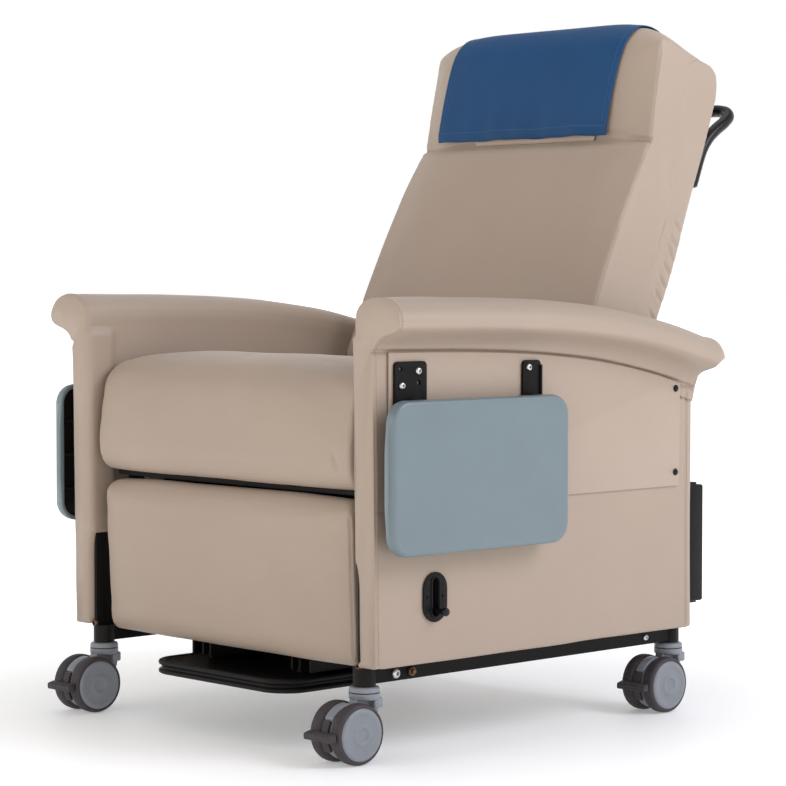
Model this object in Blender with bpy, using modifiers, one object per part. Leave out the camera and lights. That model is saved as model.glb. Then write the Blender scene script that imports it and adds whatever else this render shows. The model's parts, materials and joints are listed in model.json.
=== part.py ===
"""Patient recliner chair on four twin-wheel casters.

Units are metres and +Z is up. The occupant faces -Y and +X is the occupant's left. The chair is drawn
about its own datum: the floor point in the middle between the armrests, DATUM_Y in front of the origin,
so that the origin lies under the middle of the overall length.
"""
import math

import bmesh
import bpy
from mathutils import Euler, Matrix, Vector

# ---------------------------------------------------------------- driving dimensions
DATUM_Y = -0.1680               # chair datum, measured from the middle of the overall length
GAP = 0.0005                    # clearance between touching pieces
SIDES = (("left", 1.0), ("right", -1.0))    # the occupant's left is +X

# Casters and the base
WHEEL_R = 0.050
WHEEL_W = 0.027
CASTER_X = 0.350                # swivel axes
CASTER_FRONT_Y = -0.292
CASTER_REAR_Y = 0.456
CASTER_TRAIL = 0.038
SOCKET_R = 0.019
SOCKET_Z = 0.1225               # underside of the caster sockets
RAIL = 0.025                    # square tube of the base
RAIL_Z = 0.1375                 # middle of the base rails

# Side frames, panels and arms
BAR_X = 0.355                   # middle of the flat bars inside each arm
BAR_T = 0.006
BAR_W = 0.040
PANEL_IN = 0.3595
PANEL_OUT = 0.403
PANEL_FRONT = -0.315
PANEL_REAR = 0.457
PANEL_BOTTOM = 0.154
PANEL_RAKE = 0.008              # the front edge leans forward by this much at the arm
ARM_CREST = 0.752
ARM_DROP = 0.070                # the arm falls by this much towards the rear
ARM_DEPTH = 0.086
ARM_IN = 0.357
ARM_OUT = 0.467
ARM_TIP = 0.507
SCROLL_R = 0.030                # outer edge of the scrolled arm
INSET_T = 0.004

# Seat
SEAT_HALF = 0.335
SEAT_FRONT = -0.320
SEAT_REAR = 0.236
SEAT_BOTTOM = 0.442
SEAT_CROWN = 0.650
SEAT_BACK_Z = 0.606
DECK_T = 0.015

# Back, in its own frame: v runs up the back and w runs rearwards, both from the recline axis
RECLINE_Y = 0.373
RECLINE_Z = 0.535
LEAN = math.radians(22.0)
BACK_HALF = 0.303
BACK_TOP = 0.690
SHELL_W = (-0.014, 0.038)
SHELL_WALL = 0.009
BACK_TUBE_R = 0.011
BACK_TUBE_X = 0.272
PILLOW_V = 0.496
PILLOW_FRONT = [(-0.119, 0.514), (-0.131, 0.570), (-0.141, 0.630)]
PILLOW_CROWN = (-0.102, 0.670)
PILLOW_CROWN_R = 0.042

# Legrest: two hanging links carry a cross tube, and the padded board turns on the tube
LEG_PIVOT = (-0.230, 0.515)
LEG_TUBE = (-0.215, 0.360)
LEG_TUBE_R = 0.009
LEG_LINK_X = 0.3455
LEG_LINK_T = 0.005
LEG_HALF = 0.328
LEG_FRONT = -0.295
LEG_Z = (0.156, 0.422)
LEG_PAD_T = 0.039
LEG_BOARD_T = 0.012

# Gas spring on the left of the seat: a fixed cylinder and a rod whose eye follows the recline crank
SPRING_X = 0.325
SPRING_FOOT = (-0.026, 0.294)
SPRING_TILT = math.radians(20.5)
SPRING_LENGTH = 0.4955          # from the foot to the crank pin
SPRING_R = 0.011
ROD_R = 0.006
CRANK_R = 0.090
CRANK_ANGLE = math.radians(45.0)    # behind straight down, with the back upright
CRANK_PIN_R = 0.005

# Foot tray
TRAY_HALF = 0.186
TRAY_Y = (-0.325, -0.060)
TRAY_Z = (0.088, 0.112)

# Side tables, hanging folded against the arms
TABLE_X = (0.435, 0.455)
TABLE_Y = (-0.324, 0.081)
TABLE_Z = (0.337, 0.587)
TABLE_CORNER = 0.036
TABLE_AXIS = (0.424, 0.5795)    # x and z of the hinge
TABLE_PIN_R = 0.004
BRACKET_T = 0.005

# Release lever
LEVER_PIVOT = (-0.026, 0.262)
LEVER_REACH = 0.160
LEVER_PIN_R = 0.0045
LEVER_START = math.asin(0.0225 / 0.160)

# Colours: linear base colour, roughness, metallic
BEIGE = ("beige_vinyl", (0.445, 0.352, 0.275), 0.55, 0.0)
BLUE = ("blue_vinyl", (0.028, 0.085, 0.195), 0.50, 0.0)
SLATE = ("slate_plastic", (0.235, 0.305, 0.345), 0.35, 0.0)
BLACK_STEEL = ("black_steel", (0.018, 0.016, 0.015), 0.45, 0.3)
BLACK_PLASTIC = ("black_plastic", (0.020, 0.019, 0.019), 0.50, 0.0)
GREY_PLASTIC = ("caster_grey", (0.290, 0.340, 0.385), 0.40, 0.0)
TYRE_GREY = ("tyre_grey", (0.070, 0.062, 0.068), 0.75, 0.0)
PLYWOOD = ("plywood", (0.450, 0.310, 0.170), 0.70, 0.0)
ZINC = ("zinc_steel", (0.550, 0.560, 0.580), 0.30, 1.0)


# ---------------------------------------------------------------- scene set-up
def clear_scene():
    for obj in list(bpy.data.objects):
        bpy.data.objects.remove(obj, do_unlink=True)


def collection(name):
    found = bpy.data.collections.new(name)
    bpy.context.scene.collection.children.link(found)
    return found


clear_scene()
CHAIR = collection("patient_recliner_chair")
HELPERS = collection("helpers")


def material(spec):
    name, colour, roughness, metallic = spec
    found = bpy.data.materials.get(name)
    if found:
        return found
    found = bpy.data.materials.new(name)
    found.use_nodes = True
    shader = found.node_tree.nodes["Principled BSDF"]
    shader.inputs["Base Color"].default_value = (*colour, 1.0)
    shader.inputs["Roughness"].default_value = roughness
    shader.inputs["Metallic"].default_value = metallic
    return found


def empty(name, location, parent=None, rotation=(0.0, 0.0, 0.0)):
    obj = bpy.data.objects.new(name, None)
    obj.empty_display_size = 0.05
    obj.location = location
    obj.rotation_euler = rotation
    obj.parent = parent
    HELPERS.objects.link(obj)
    return obj


# ---------------------------------------------------------------- shape makers
def add_object(name, mesh, location, parent, rotation, smooth=True):
    """Links a mesh as a node of the chair; angles are radians in the parent's frame."""
    if smooth:
        mesh.shade_smooth()
        mesh.set_sharp_from_angle(angle=math.radians(35))
    obj = bpy.data.objects.new(name, mesh)
    obj.location = location
    obj.rotation_euler = rotation
    obj.parent = parent
    CHAIR.objects.link(obj)
    return obj


def finish(obj, spec):
    obj.data.materials.clear()
    obj.data.materials.append(material(spec))
    return obj


def box(name, size, centre, parent, rotation=(0.0, 0.0, 0.0), bevel=0.0, segments=2):
    made = bmesh.new()
    bmesh.ops.create_cube(made, size=1.0)
    bmesh.ops.scale(made, vec=Vector(size), verts=made.verts)
    mesh = bpy.data.meshes.new(name)
    made.to_mesh(mesh)
    made.free()
    obj = add_object(name, mesh, centre, parent, rotation)
    if bevel:
        round_edges(obj, bevel, segments)
    return obj


def span(name, x, y, z, parent, bevel=0.0, segments=2):
    """A box given by its two limits on each axis."""
    size = (x[1] - x[0], y[1] - y[0], z[1] - z[0])
    centre = (sum(x) / 2, sum(y) / 2, sum(z) / 2)
    return box(name, size, centre, parent, bevel=bevel, segments=segments)


def cylinder(name, radius, length, centre, parent, axis="X", sides=16):
    made = bmesh.new()
    bmesh.ops.create_cone(made, cap_ends=True, segments=sides, radius1=radius, radius2=radius, depth=length)
    turn = {"X": Euler((0.0, math.pi / 2, 0.0)), "Y": Euler((math.pi / 2, 0.0, 0.0)), "Z": Euler()}[axis]
    bmesh.ops.transform(made, matrix=turn.to_matrix().to_4x4(), verts=made.verts)
    mesh = bpy.data.meshes.new(name)
    made.to_mesh(mesh)
    made.free()
    return add_object(name, mesh, centre, parent, (0.0, 0.0, 0.0))


def curve_to_mesh(name, curve):
    """Turns a curve into a welded closed mesh, so that it can be cut and bevelled."""
    guide = bpy.data.objects.new(name + "_curve", curve)
    HELPERS.objects.link(guide)
    depsgraph = bpy.context.evaluated_depsgraph_get()
    mesh = bpy.data.meshes.new_from_object(guide.evaluated_get(depsgraph))
    bpy.data.objects.remove(guide, do_unlink=True)
    made = bmesh.new()
    made.from_mesh(mesh)
    bmesh.ops.remove_doubles(made, verts=made.verts, dist=0.00001)
    bmesh.ops.recalc_face_normals(made, faces=made.faces)
    made.to_mesh(mesh)
    made.free()
    return mesh


# A flat outline is drawn in X and Y and then stood in the plane that it belongs to.
STAND = {
    "YZ": Matrix(((0, 0, 1), (1, 0, 0), (0, 1, 0))).to_4x4(),
    "XZ": Matrix(((1, 0, 0), (0, 0, -1), (0, 1, 0))).to_4x4(),
    "XY": Matrix.Identity(4),
}


def slab(name, outlines, thickness, plane, centre, parent, bevel=0.0, segments=2):
    """A flat piece of even thickness; the first outline is its edge and the others are its holes."""
    curve = bpy.data.curves.new(name, "CURVE")
    curve.dimensions = "2D"
    curve.fill_mode = "BOTH"
    curve.extrude = thickness / 2
    for outline in outlines:
        spline = curve.splines.new("POLY")
        spline.points.add(len(outline) - 1)
        for point, (across, up) in zip(spline.points, outline):
            point.co = (across, up, 0.0, 1.0)
        spline.use_cyclic_u = True
    mesh = curve_to_mesh(name, curve)
    mesh.transform(STAND[plane])
    obj = add_object(name, mesh, centre, parent, (0.0, 0.0, 0.0))
    if bevel:
        round_edges(obj, bevel, segments)
    return obj


def tube(name, points, radius, parent, resolution=2, location=(0.0, 0.0, 0.0)):
    curve = bpy.data.curves.new(name, "CURVE")
    curve.dimensions = "3D"
    curve.bevel_depth = radius
    curve.bevel_resolution = resolution
    curve.use_fill_caps = True
    spline = curve.splines.new("POLY")
    spline.points.add(len(points) - 1)
    for point, place in zip(spline.points, points):
        point.co = (*place, 1.0)
    return add_object(name, curve_to_mesh(name, curve), location, parent, (0.0, 0.0, 0.0))


def loft(name, rings, parent, location=(0.0, 0.0, 0.0)):
    """A closed skin through rings that all have the same number of points."""
    made = bmesh.new()
    rows = [[made.verts.new(place) for place in ring] for ring in rings]
    count = len(rows[0])
    for lower, upper in zip(rows, rows[1:]):
        for index in range(count):
            after = (index + 1) % count
            made.faces.new((lower[index], lower[after], upper[after], upper[index]))
    made.faces.new(list(reversed(rows[0])))
    made.faces.new(rows[-1])
    bmesh.ops.recalc_face_normals(made, faces=made.faces)
    mesh = bpy.data.meshes.new(name)
    made.to_mesh(mesh)
    made.free()
    return add_object(name, mesh, location, parent, (0.0, 0.0, 0.0))


def round_edges(obj, width, segments=2, angle=30.0):
    bevel = obj.modifiers.new("rounded_edges", "BEVEL")
    bevel.width = width
    bevel.segments = segments
    bevel.limit_method = "ANGLE"
    bevel.angle_limit = math.radians(angle)


def helper(obj):
    """Moves a cutter or a joined piece out of the chair's own nodes."""
    CHAIR.objects.unlink(obj)
    HELPERS.objects.link(obj)
    obj.hide_render = True
    obj.display_type = "WIRE"
    return obj


def combine(obj, operation, tool):
    step = obj.modifiers.new(operation.lower(), "BOOLEAN")
    step.operation = operation
    step.solver = "EXACT"
    step.object = helper(tool)
    return obj


def join(obj, *pieces):
    for piece in pieces:
        combine(obj, "UNION", piece)
    return obj


def cut(obj, *tools):
    for tool in tools:
        combine(obj, "DIFFERENCE", tool)
    return obj


# ---------------------------------------------------------------- outline makers
def arc(centre, radius, start, end, steps):
    """Points along an arc, in degrees, both ends included."""
    across, up = centre
    points = []
    for index in range(steps + 1):
        angle = math.radians(start + (end - start) * index / steps)
        points.append((across + radius * math.cos(angle), up + radius * math.sin(angle)))
    return points


def rounded(low, high, radii, steps=3):
    """A rounded rectangle, counter-clockwise from its lower-left corner; one radius for each corner."""
    if not isinstance(radii, (tuple, list)):
        radii = (radii,) * 4
    corners = ((low[0], low[1], 1, 1), (high[0], low[1], -1, 1), (high[0], high[1], -1, -1), (low[0], high[1], 1, -1))
    points = []
    for start, radius, (x, y, sx, sy) in zip((180, 270, 0, 90), radii, corners):
        points += arc((x + sx * radius, y + sy * radius), radius, start, start + 90, steps)
    return points


def stadium(centre, half_width, half_height, steps=8):
    """An upright slot shape with round ends."""
    across, up = centre
    lift = half_height - half_width
    return arc((across, up + lift), half_width, 0, 180, steps) + arc((across, up - lift), half_width, 180, 360, steps)


def circle(centre, radius, steps=16):
    return arc(centre, radius, 0, 360 * (steps - 1) / steps, steps - 1)


def link_outline(start, end, radius, steps=6):
    """A flat link: two round ends joined by straight sides."""
    angle = math.degrees(math.atan2(end[1] - start[1], end[0] - start[0]))
    return arc(start, radius, angle + 90, angle + 270, steps) + arc(end, radius, angle - 90, angle + 90, steps)


ROOT = empty("chair_datum", (0.0, DATUM_Y, 0.0))


# ---------------------------------------------------------------- base and side frames
def side_frame(label, side):
    """Welded frame in each arm: base rail, two caster sockets, three uprights and the seat-height bar."""
    x = side * BAR_X
    rail = span("side_frame_" + label, (side * CASTER_X - RAIL / 2, side * CASTER_X + RAIL / 2),
                (CASTER_FRONT_Y - 0.004, CASTER_REAR_Y + 0.004), (RAIL_Z - RAIL / 2, RAIL_Z + RAIL / 2), ROOT)
    pieces = []
    for y in (CASTER_FRONT_Y, CASTER_REAR_Y):
        height = RAIL_Z + RAIL / 2 + 0.003 - SOCKET_Z
        pieces.append(cylinder("socket", SOCKET_R, height, (side * CASTER_X, y, SOCKET_Z + height / 2), ROOT,
                               axis="Z", sides=20))
    for y in (-0.287, LEVER_PIVOT[0], 0.430):
        pieces.append(box("upright", (BAR_T, BAR_W, 0.400), (x, y, 0.345), ROOT))
    pieces.append(span("seat_bar", (x - BAR_T / 2 - 0.0004, x + BAR_T / 2 - 0.0004), (-0.307, 0.4501),
                       (0.490, 0.560), ROOT))
    pieces.append(cylinder("link_stud", 0.0065, 0.015, (side * 0.3475, *LEG_PIVOT), ROOT))
    if label == "left":
        pieces.append(cylinder("lever_stud", 0.006, 0.015, (side * 0.3475, *LEVER_PIVOT), ROOT))
        pieces.append(cylinder("spring_stud", 0.006, 0.040, (side * 0.334, *SPRING_FOOT), ROOT))
    join(rail, *pieces)
    tools = [cylinder("recline_hole", 0.0095, 0.03, (x, RECLINE_Y, RECLINE_Z), ROOT, sides=20)]
    for y in (CASTER_FRONT_Y, CASTER_REAR_Y):
        tools.append(cylinder("stem_bore", 0.0065, 0.06, (side * CASTER_X, y, SOCKET_Z), ROOT, axis="Z"))
    cut(rail, *tools)
    return finish(rail, BLACK_STEEL)


def cross_members():
    inside = CASTER_X - RAIL / 2 - GAP
    low = (RAIL_Z - RAIL / 2, RAIL_Z + RAIL / 2)
    reach = BAR_X - BAR_T / 2 - 0.001
    finish(span("base_cross_front", (-inside, inside), (-0.0625, -0.0375), low, ROOT), BLACK_STEEL)
    rear = CASTER_REAR_Y - RAIL / 2 - 0.010
    finish(span("base_cross_rear", (-inside, inside), (rear - RAIL, rear), low, ROOT), BLACK_STEEL)
    for name, y in (("seat_cross_front", -0.150), ("seat_cross_rear", 0.190)):
        low = SEAT_BOTTOM - GAP - DECK_T - 0.001 - RAIL
        bar = span(name, (-reach, reach), (y, y + RAIL), (low, low + RAIL), ROOT)
        for _, side in SIDES:
            hanger = span("hanger", (side * (reach - 0.0025) - 0.0025, side * (reach - 0.0025) + 0.0025),
                          (y, y + RAIL), (low, 0.545), ROOT)
            join(bar, hanger)
        finish(bar, BLACK_STEEL)


def arm_crest(y):
    """Height of the top of the arm at a place along it."""
    along = max(0.0, (y + 0.320) / 0.765)
    return ARM_CREST - ARM_DROP * along ** 3.2


def arm_under(y):
    """Height where the arm roll sits on the side panel."""
    return arm_crest(y) - ARM_DEPTH - 0.008 * max(0.0, (y + 0.320) / 0.765)


def side_panel(label, side):
    top = []
    stations = 9
    for index in range(stations + 1):
        y = PANEL_REAR + (PANEL_FRONT - PANEL_RAKE - PANEL_REAR) * index / stations
        top.append((y, arm_under(y) - 0.0015))
    outline = [(PANEL_FRONT, PANEL_BOTTOM), (PANEL_REAR, PANEL_BOTTOM)] + top
    middle = side * (PANEL_IN + PANEL_OUT) / 2
    panel = slab("side_panel_" + label, [outline], PANEL_OUT - PANEL_IN, "YZ", (middle, 0, 0), ROOT)
    round_edges(panel, 0.007, 2, 50.0)
    if label == "left":
        slot = slab("slot", [stadium((LEVER_PIVOT[0] - LEVER_REACH, LEVER_PIVOT[1]), 0.010, 0.035, 4)],
                    0.08, "YZ", (middle, 0, 0), ROOT)
        cut(panel, slot)
    return finish(panel, BEIGE)


def inset_panel(label, side):
    """Covered board that closes the arm above the seam, held by two push rivets at the rear."""
    front, rear, bottom = -0.291, 0.419, 0.411
    top = []
    stations = 8
    for index in range(stations + 1):
        y = rear + (front - rear) * index / stations
        top.append((y, arm_under(y) - 0.007))
    middle = side * (PANEL_OUT + GAP + INSET_T / 2)
    panel = slab("inset_panel_" + label, [[(front, bottom), (rear, bottom)] + top], INSET_T, "YZ",
                 (middle, 0, 0), ROOT)
    for z in (0.436, 0.585):
        join(panel, cylinder("rivet", 0.0065, 0.004, (side * (PANEL_OUT + INSET_T + 0.0015), 0.406, z), ROOT,
                             sides=12))
    return finish(panel, BEIGE)


def arm_section(y, shrink=0.0):
    """Outline of the scrolled arm across its length; shrink draws it in evenly for the rounded ends."""
    crest = arm_crest(y) - shrink
    under = arm_under(y) + shrink
    inner = ARM_IN + shrink
    outer = ARM_OUT - shrink
    radius = min(SCROLL_R, (crest - under) * 0.35)
    points = [(inner, under), (inner, (crest - radius + under) / 2)]
    points += arc((inner + radius, crest - radius), radius, 180, 90, 4)
    points += arc((outer - radius, crest - radius), radius, 90, -75, 7)
    neck = max(inner + 0.004, PANEL_OUT + 0.001 - shrink)
    scroll_low = crest - 2 * radius
    for out, share in ((0.022, 0.12), (0.008, 0.45), (0.0, 1.0)):
        points.append((neck + out, scroll_low + (under - scroll_low) * share))
    return points


def arm_roll(label, side):
    """Padded scroll arm; it overhangs the panel outside and runs past it at the rear."""
    front = PANEL_FRONT - PANEL_RAKE
    rings = []
    stations = [(front, 0.006), (front + 0.004, 0.001), (front + 0.012, 0.0)]
    stations += [(front + 0.012 + (0.455 - front - 0.012) * step / 8, 0.0) for step in range(1, 9)]
    stations += [(0.478, 0.008), (0.496, 0.020), (ARM_TIP, 0.034)]
    for y, shrink in stations:
        rings.append([(side * x, y, z) for x, z in arm_section(y, shrink)])
    return finish(loft("arm_roll_" + label, rings, ROOT), BEIGE)


# ---------------------------------------------------------------- seat
def seat():
    deck_top = SEAT_BOTTOM - GAP
    deck = span("seat_deck", (-0.330, 0.330), (-0.272, 0.228), (deck_top - DECK_T, deck_top), ROOT)
    finish(deck, PLYWOOD)
    outline = arc((SEAT_FRONT + 0.055, SEAT_BOTTOM + 0.055), 0.055, 270, 180, 4)
    outline += arc((SEAT_FRONT + 0.075, SEAT_CROWN - 0.075), 0.075, 180, 84, 5)
    outline += [(-0.080, 0.642), (0.110, 0.622)]
    outline += arc((SEAT_REAR - 0.018, SEAT_BACK_Z - 0.020), 0.020, 84, 0, 3)
    outline += [(SEAT_REAR - 0.010, SEAT_BOTTOM)]
    outline.reverse()
    cushion = slab("seat_cushion", [outline], 2 * SEAT_HALF, "YZ", (0, 0, 0), ROOT)
    round_edges(cushion, 0.022, 3, 60.0)
    finish(cushion, BEIGE)


# ---------------------------------------------------------------- back
RECLINE = empty("back_recline_axis", (0.0, RECLINE_Y, RECLINE_Z), ROOT, (-LEAN, 0.0, 0.0))


def back_frame():
    """Two uprights joined by three rungs; the stubs at the foot are the recline pivots."""
    frame = tube("back_frame", [(-BACK_TUBE_X, 0, -0.012), (-BACK_TUBE_X, 0, 0.634), (-BACK_TUBE_X + 0.02, 0, 0.654),
                                (BACK_TUBE_X - 0.02, 0, 0.654), (BACK_TUBE_X, 0, 0.634), (BACK_TUBE_X, 0, -0.012)],
                 BACK_TUBE_R, RECLINE)
    pieces = []
    for v in (0.060, 0.350):
        pieces.append(cylinder("rung", 0.009, 2 * BACK_TUBE_X, (0, 0, v), RECLINE, sides=12))
    reach = 0.3575 - BACK_TUBE_X
    for _, side in SIDES:
        pieces.append(cylinder("stub", 0.009, reach, (side * (BACK_TUBE_X + reach / 2), 0, 0), RECLINE, sides=20))
    behind, below = CRANK_R * math.sin(CRANK_ANGLE), CRANK_R * math.cos(CRANK_ANGLE)
    pin = (behind * math.cos(LEAN) + below * math.sin(LEAN), behind * math.sin(LEAN) - below * math.cos(LEAN))
    pieces.append(slab("crank", [link_outline((0, 0), pin, 0.013)], 0.005, "YZ", (SPRING_X - 0.015, 0, 0), RECLINE))
    pieces.append(cylinder("crank_pin", CRANK_PIN_R, 0.025, (SPRING_X - 0.002, *pin), RECLINE))
    join(frame, *pieces)
    return finish(frame, BLACK_STEEL)


def gas_spring():
    """Cylinder pinned to the left side frame, with its rod reaching back to the recline crank."""
    foot = empty("gas_spring_axis", (SPRING_X, *SPRING_FOOT), ROOT, (SPRING_TILT, 0.0, 0.0))
    case = cylinder("gas_spring_cylinder", SPRING_R, 0.255, (0, 0.1375, 0), foot, axis="Y", sides=20)
    join(case, slab("foot_eye", [circle((0, 0), 0.0105)], 0.010, "YZ", (0, 0, 0), foot))
    cut(case, cylinder("foot_hole", 0.0064, 0.03, (0, 0, 0), foot),
        cylinder("rod_bore", ROD_R + 0.0005, 0.240, (0, 0.150, 0), foot, axis="Y"))
    finish(case, BLACK_STEEL)
    start, end = 0.130, SPRING_LENGTH - 0.011
    rod = cylinder("gas_spring_rod", ROD_R, end - start, (0, (start + end) / 2, 0), foot, axis="Y")
    join(rod, slab("rod_eye", [circle((SPRING_LENGTH, 0), 0.0155, 20)], 0.009, "YZ", (0, 0, 0), foot))
    cut(rod, cylinder("eye_hole", CRANK_PIN_R + 0.0057, 0.03, (0, SPRING_LENGTH, 0), foot, sides=20))
    finish(rod, ZINC)


def back_upholstery():
    crease = SHELL_W[0] - GAP
    front = [(-0.118, 0.010), (-0.136, 0.030), (-0.137, 0.110), (-0.131, 0.260), (-0.120, 0.400), (-0.112, 0.470)]
    outline = [(crease, 0.010)] + front + [(-0.100, PILLOW_V - 0.004), (crease, PILLOW_V - 0.004)]
    outline.reverse()
    cushion = slab("back_cushion", [outline], 2 * BACK_HALF, "YZ", (0, 0, 0), RECLINE)
    round_edges(cushion, 0.012, 2, 70.0)
    finish(cushion, BEIGE)

    outline = [(crease, PILLOW_V), (-0.106, PILLOW_V)] + PILLOW_FRONT
    outline += arc(PILLOW_CROWN, PILLOW_CROWN_R, 170, 80, 5)
    outline += [(crease, BACK_TOP + 0.004)]
    outline.reverse()
    pillow = slab("head_pillow", [outline], 2 * BACK_HALF - 0.006, "YZ", (0, 0, 0), RECLINE)
    round_edges(pillow, 0.010, 2, 70.0)
    finish(pillow, BEIGE)

    outer = rounded((-BACK_HALF, 0.016), (BACK_HALF, BACK_TOP - 0.006), (0.006, 0.006, 0.024, 0.024))
    middle = sum(SHELL_W) / 2
    depth = SHELL_W[1] - SHELL_W[0]
    shell = slab("back_shell", [outer], depth, "XZ", (0, middle, 0), RECLINE)
    round_edges(shell, 0.006, 2, 60.0)
    inside = BACK_HALF - SHELL_WALL
    room = span("room", (-inside, inside), (SHELL_W[0] - 0.020, SHELL_W[1] - SHELL_WALL),
                (-0.020, BACK_TOP - 0.006 - SHELL_WALL), RECLINE)
    cut(shell, room)
    finish(shell, BEIGE)


def head_cover():
    """Blue cover laid over the pillow, the top of the back and a little way down behind it."""
    inner = 0.0015
    outer = 0.0045

    def skin(offset):
        points = [(w - offset, v) for w, v in PILLOW_FRONT]
        points += arc(PILLOW_CROWN, PILLOW_CROWN_R + offset, 170, 80, 5)
        points += arc((SHELL_W[1] - 0.008, BACK_TOP - 0.004), 0.008 + offset, 90, 0, 2)
        points += [(SHELL_W[1] + offset, 0.600)]
        return points

    outline = skin(outer) + list(reversed(skin(inner)))
    cover = slab("head_cover", [outline], 0.450, "YZ", (0.0, 0, 0), RECLINE)
    return finish(cover, BLUE)


def push_bar():
    """Bent tube behind the back: legs flat on the shell, a gooseneck and a straight grip bar."""
    radius = 0.0115
    x = 0.280
    on_shell = SHELL_W[1] + radius + GAP
    leg = [(x, on_shell, 0.455), (x, on_shell, 0.520), (x, on_shell + 0.002, 0.545), (x, on_shell + 0.010, 0.570),
           (x, on_shell + 0.025, 0.595), (x, on_shell + 0.043, 0.618), (x - 0.004, on_shell + 0.054, 0.634),
           (x - 0.014, on_shell + 0.060, 0.645), (x - 0.030, on_shell + 0.062, 0.651)]
    far = [(-px, w, v) for px, w, v in reversed(leg)]
    return finish(tube("push_bar", leg + far, radius, RECLINE), BLACK_STEEL)


# ---------------------------------------------------------------- legrest
def legrest():
    pivot_y, pivot_z = LEG_PIVOT
    tube_y, tube_z = LEG_TUBE
    links = empty("legrest_link_axis", (0.0, pivot_y, pivot_z), ROOT)
    board_axis = empty("legrest_board_axis", (0.0, tube_y - pivot_y, tube_z - pivot_z), links)
    drop = (tube_y - pivot_y, tube_z - pivot_z)
    for label, side in SIDES:
        outlines = [link_outline((0, 0), drop, 0.016), circle((0, 0), 0.0069), circle(drop, LEG_TUBE_R + 0.0004)]
        link = slab("legrest_link_" + label, outlines, LEG_LINK_T, "YZ", (side * LEG_LINK_X, 0, 0), links)
        finish(link, BLACK_STEEL)
    reach = LEG_LINK_X + LEG_LINK_T / 2 + 0.001
    finish(cylinder("legrest_tube", LEG_TUBE_R, 2 * reach, (0, *drop), links, sides=16), BLACK_STEEL)

    pad_back = LEG_FRONT + LEG_PAD_T - tube_y
    board_back = pad_back + GAP + LEG_BOARD_T
    low, high = LEG_Z[0] - tube_z, LEG_Z[1] - tube_z
    pad = slab("legrest_pad", [rounded((-LEG_HALF, low), (LEG_HALF, high), (0.014, 0.014, 0.022, 0.022), 3)],
               LEG_PAD_T, "XZ", (0, pad_back - LEG_PAD_T / 2, 0), board_axis)
    round_edges(pad, 0.010, 2, 60.0)
    finish(pad, BEIGE)
    board = span("legrest_board", (-0.318, 0.318), (pad_back + GAP, board_back), (low + 0.008, high - 0.008),
                 board_axis)
    finish(board, PLYWOOD)
    for label, side in SIDES:
        foot = board_back + GAP
        outlines = [link_outline((0, 0), (foot + 0.006, 0), 0.015), circle((0, 0), LEG_TUBE_R + 0.0006)]
        ear = slab("legrest_hinge_" + label, outlines, 0.006, "YZ", (side * 0.200, 0, 0), board_axis)
        trim = span("trim", (side * 0.200 - 0.02, side * 0.200 + 0.02), (foot - 0.030, foot), (-0.06, 0.06),
                    board_axis)
        cut(ear, trim)
        flange = span("flange", (side * 0.200 - 0.018, side * 0.200 + 0.018), (foot, foot + 0.004), (-0.030, 0.030),
                      board_axis)
        join(ear, flange)
        finish(ear, BLACK_STEEL)


# ---------------------------------------------------------------- foot tray
def foot_tray():
    low, high = TRAY_Z
    levels = ((low, 0.003), (low + 0.002, 0.0), (low + 0.006, 0.0), (low + 0.009, 0.005), (low + 0.014, 0.005),
              (low + 0.017, 0.0), (high - 0.002, 0.0), (high, 0.003))
    rings = []
    for z, inset in levels:
        ring = rounded((-TRAY_HALF + inset, TRAY_Y[0] + inset), (TRAY_HALF - inset, TRAY_Y[1] - inset),
                       (0.058, 0.058, 0.010, 0.010), 4)
        rings.append([(x, y, z) for x, y in ring])
    tray = loft("foot_tray", rings, ROOT)
    for _, side in SIDES:
        runner = span("runner", (side * 0.120 - 0.0065, side * 0.120 + 0.0065), (-0.232, 0.110),
                      (high - 0.001, high + 0.009), ROOT)
        join(tray, runner)
    finish(tray, BLACK_PLASTIC)

    top, roof, skirt = 0.1500, 0.1455, 0.1155
    outline = [(-0.160, top), (-0.160, skirt)]
    for start, end in ((-0.155, -0.132), (-0.128, -0.112), (-0.108, 0.108), (0.112, 0.128), (0.132, 0.155)):
        outline += [(start, skirt), (start, roof), (end, roof), (end, skirt)]
    outline += [(0.160, skirt), (0.160, top)]
    housing = slab("tray_housing", [outline], 0.175, "XZ", (0, -0.152, 0), ROOT)
    finish(housing, BLACK_STEEL)


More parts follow.
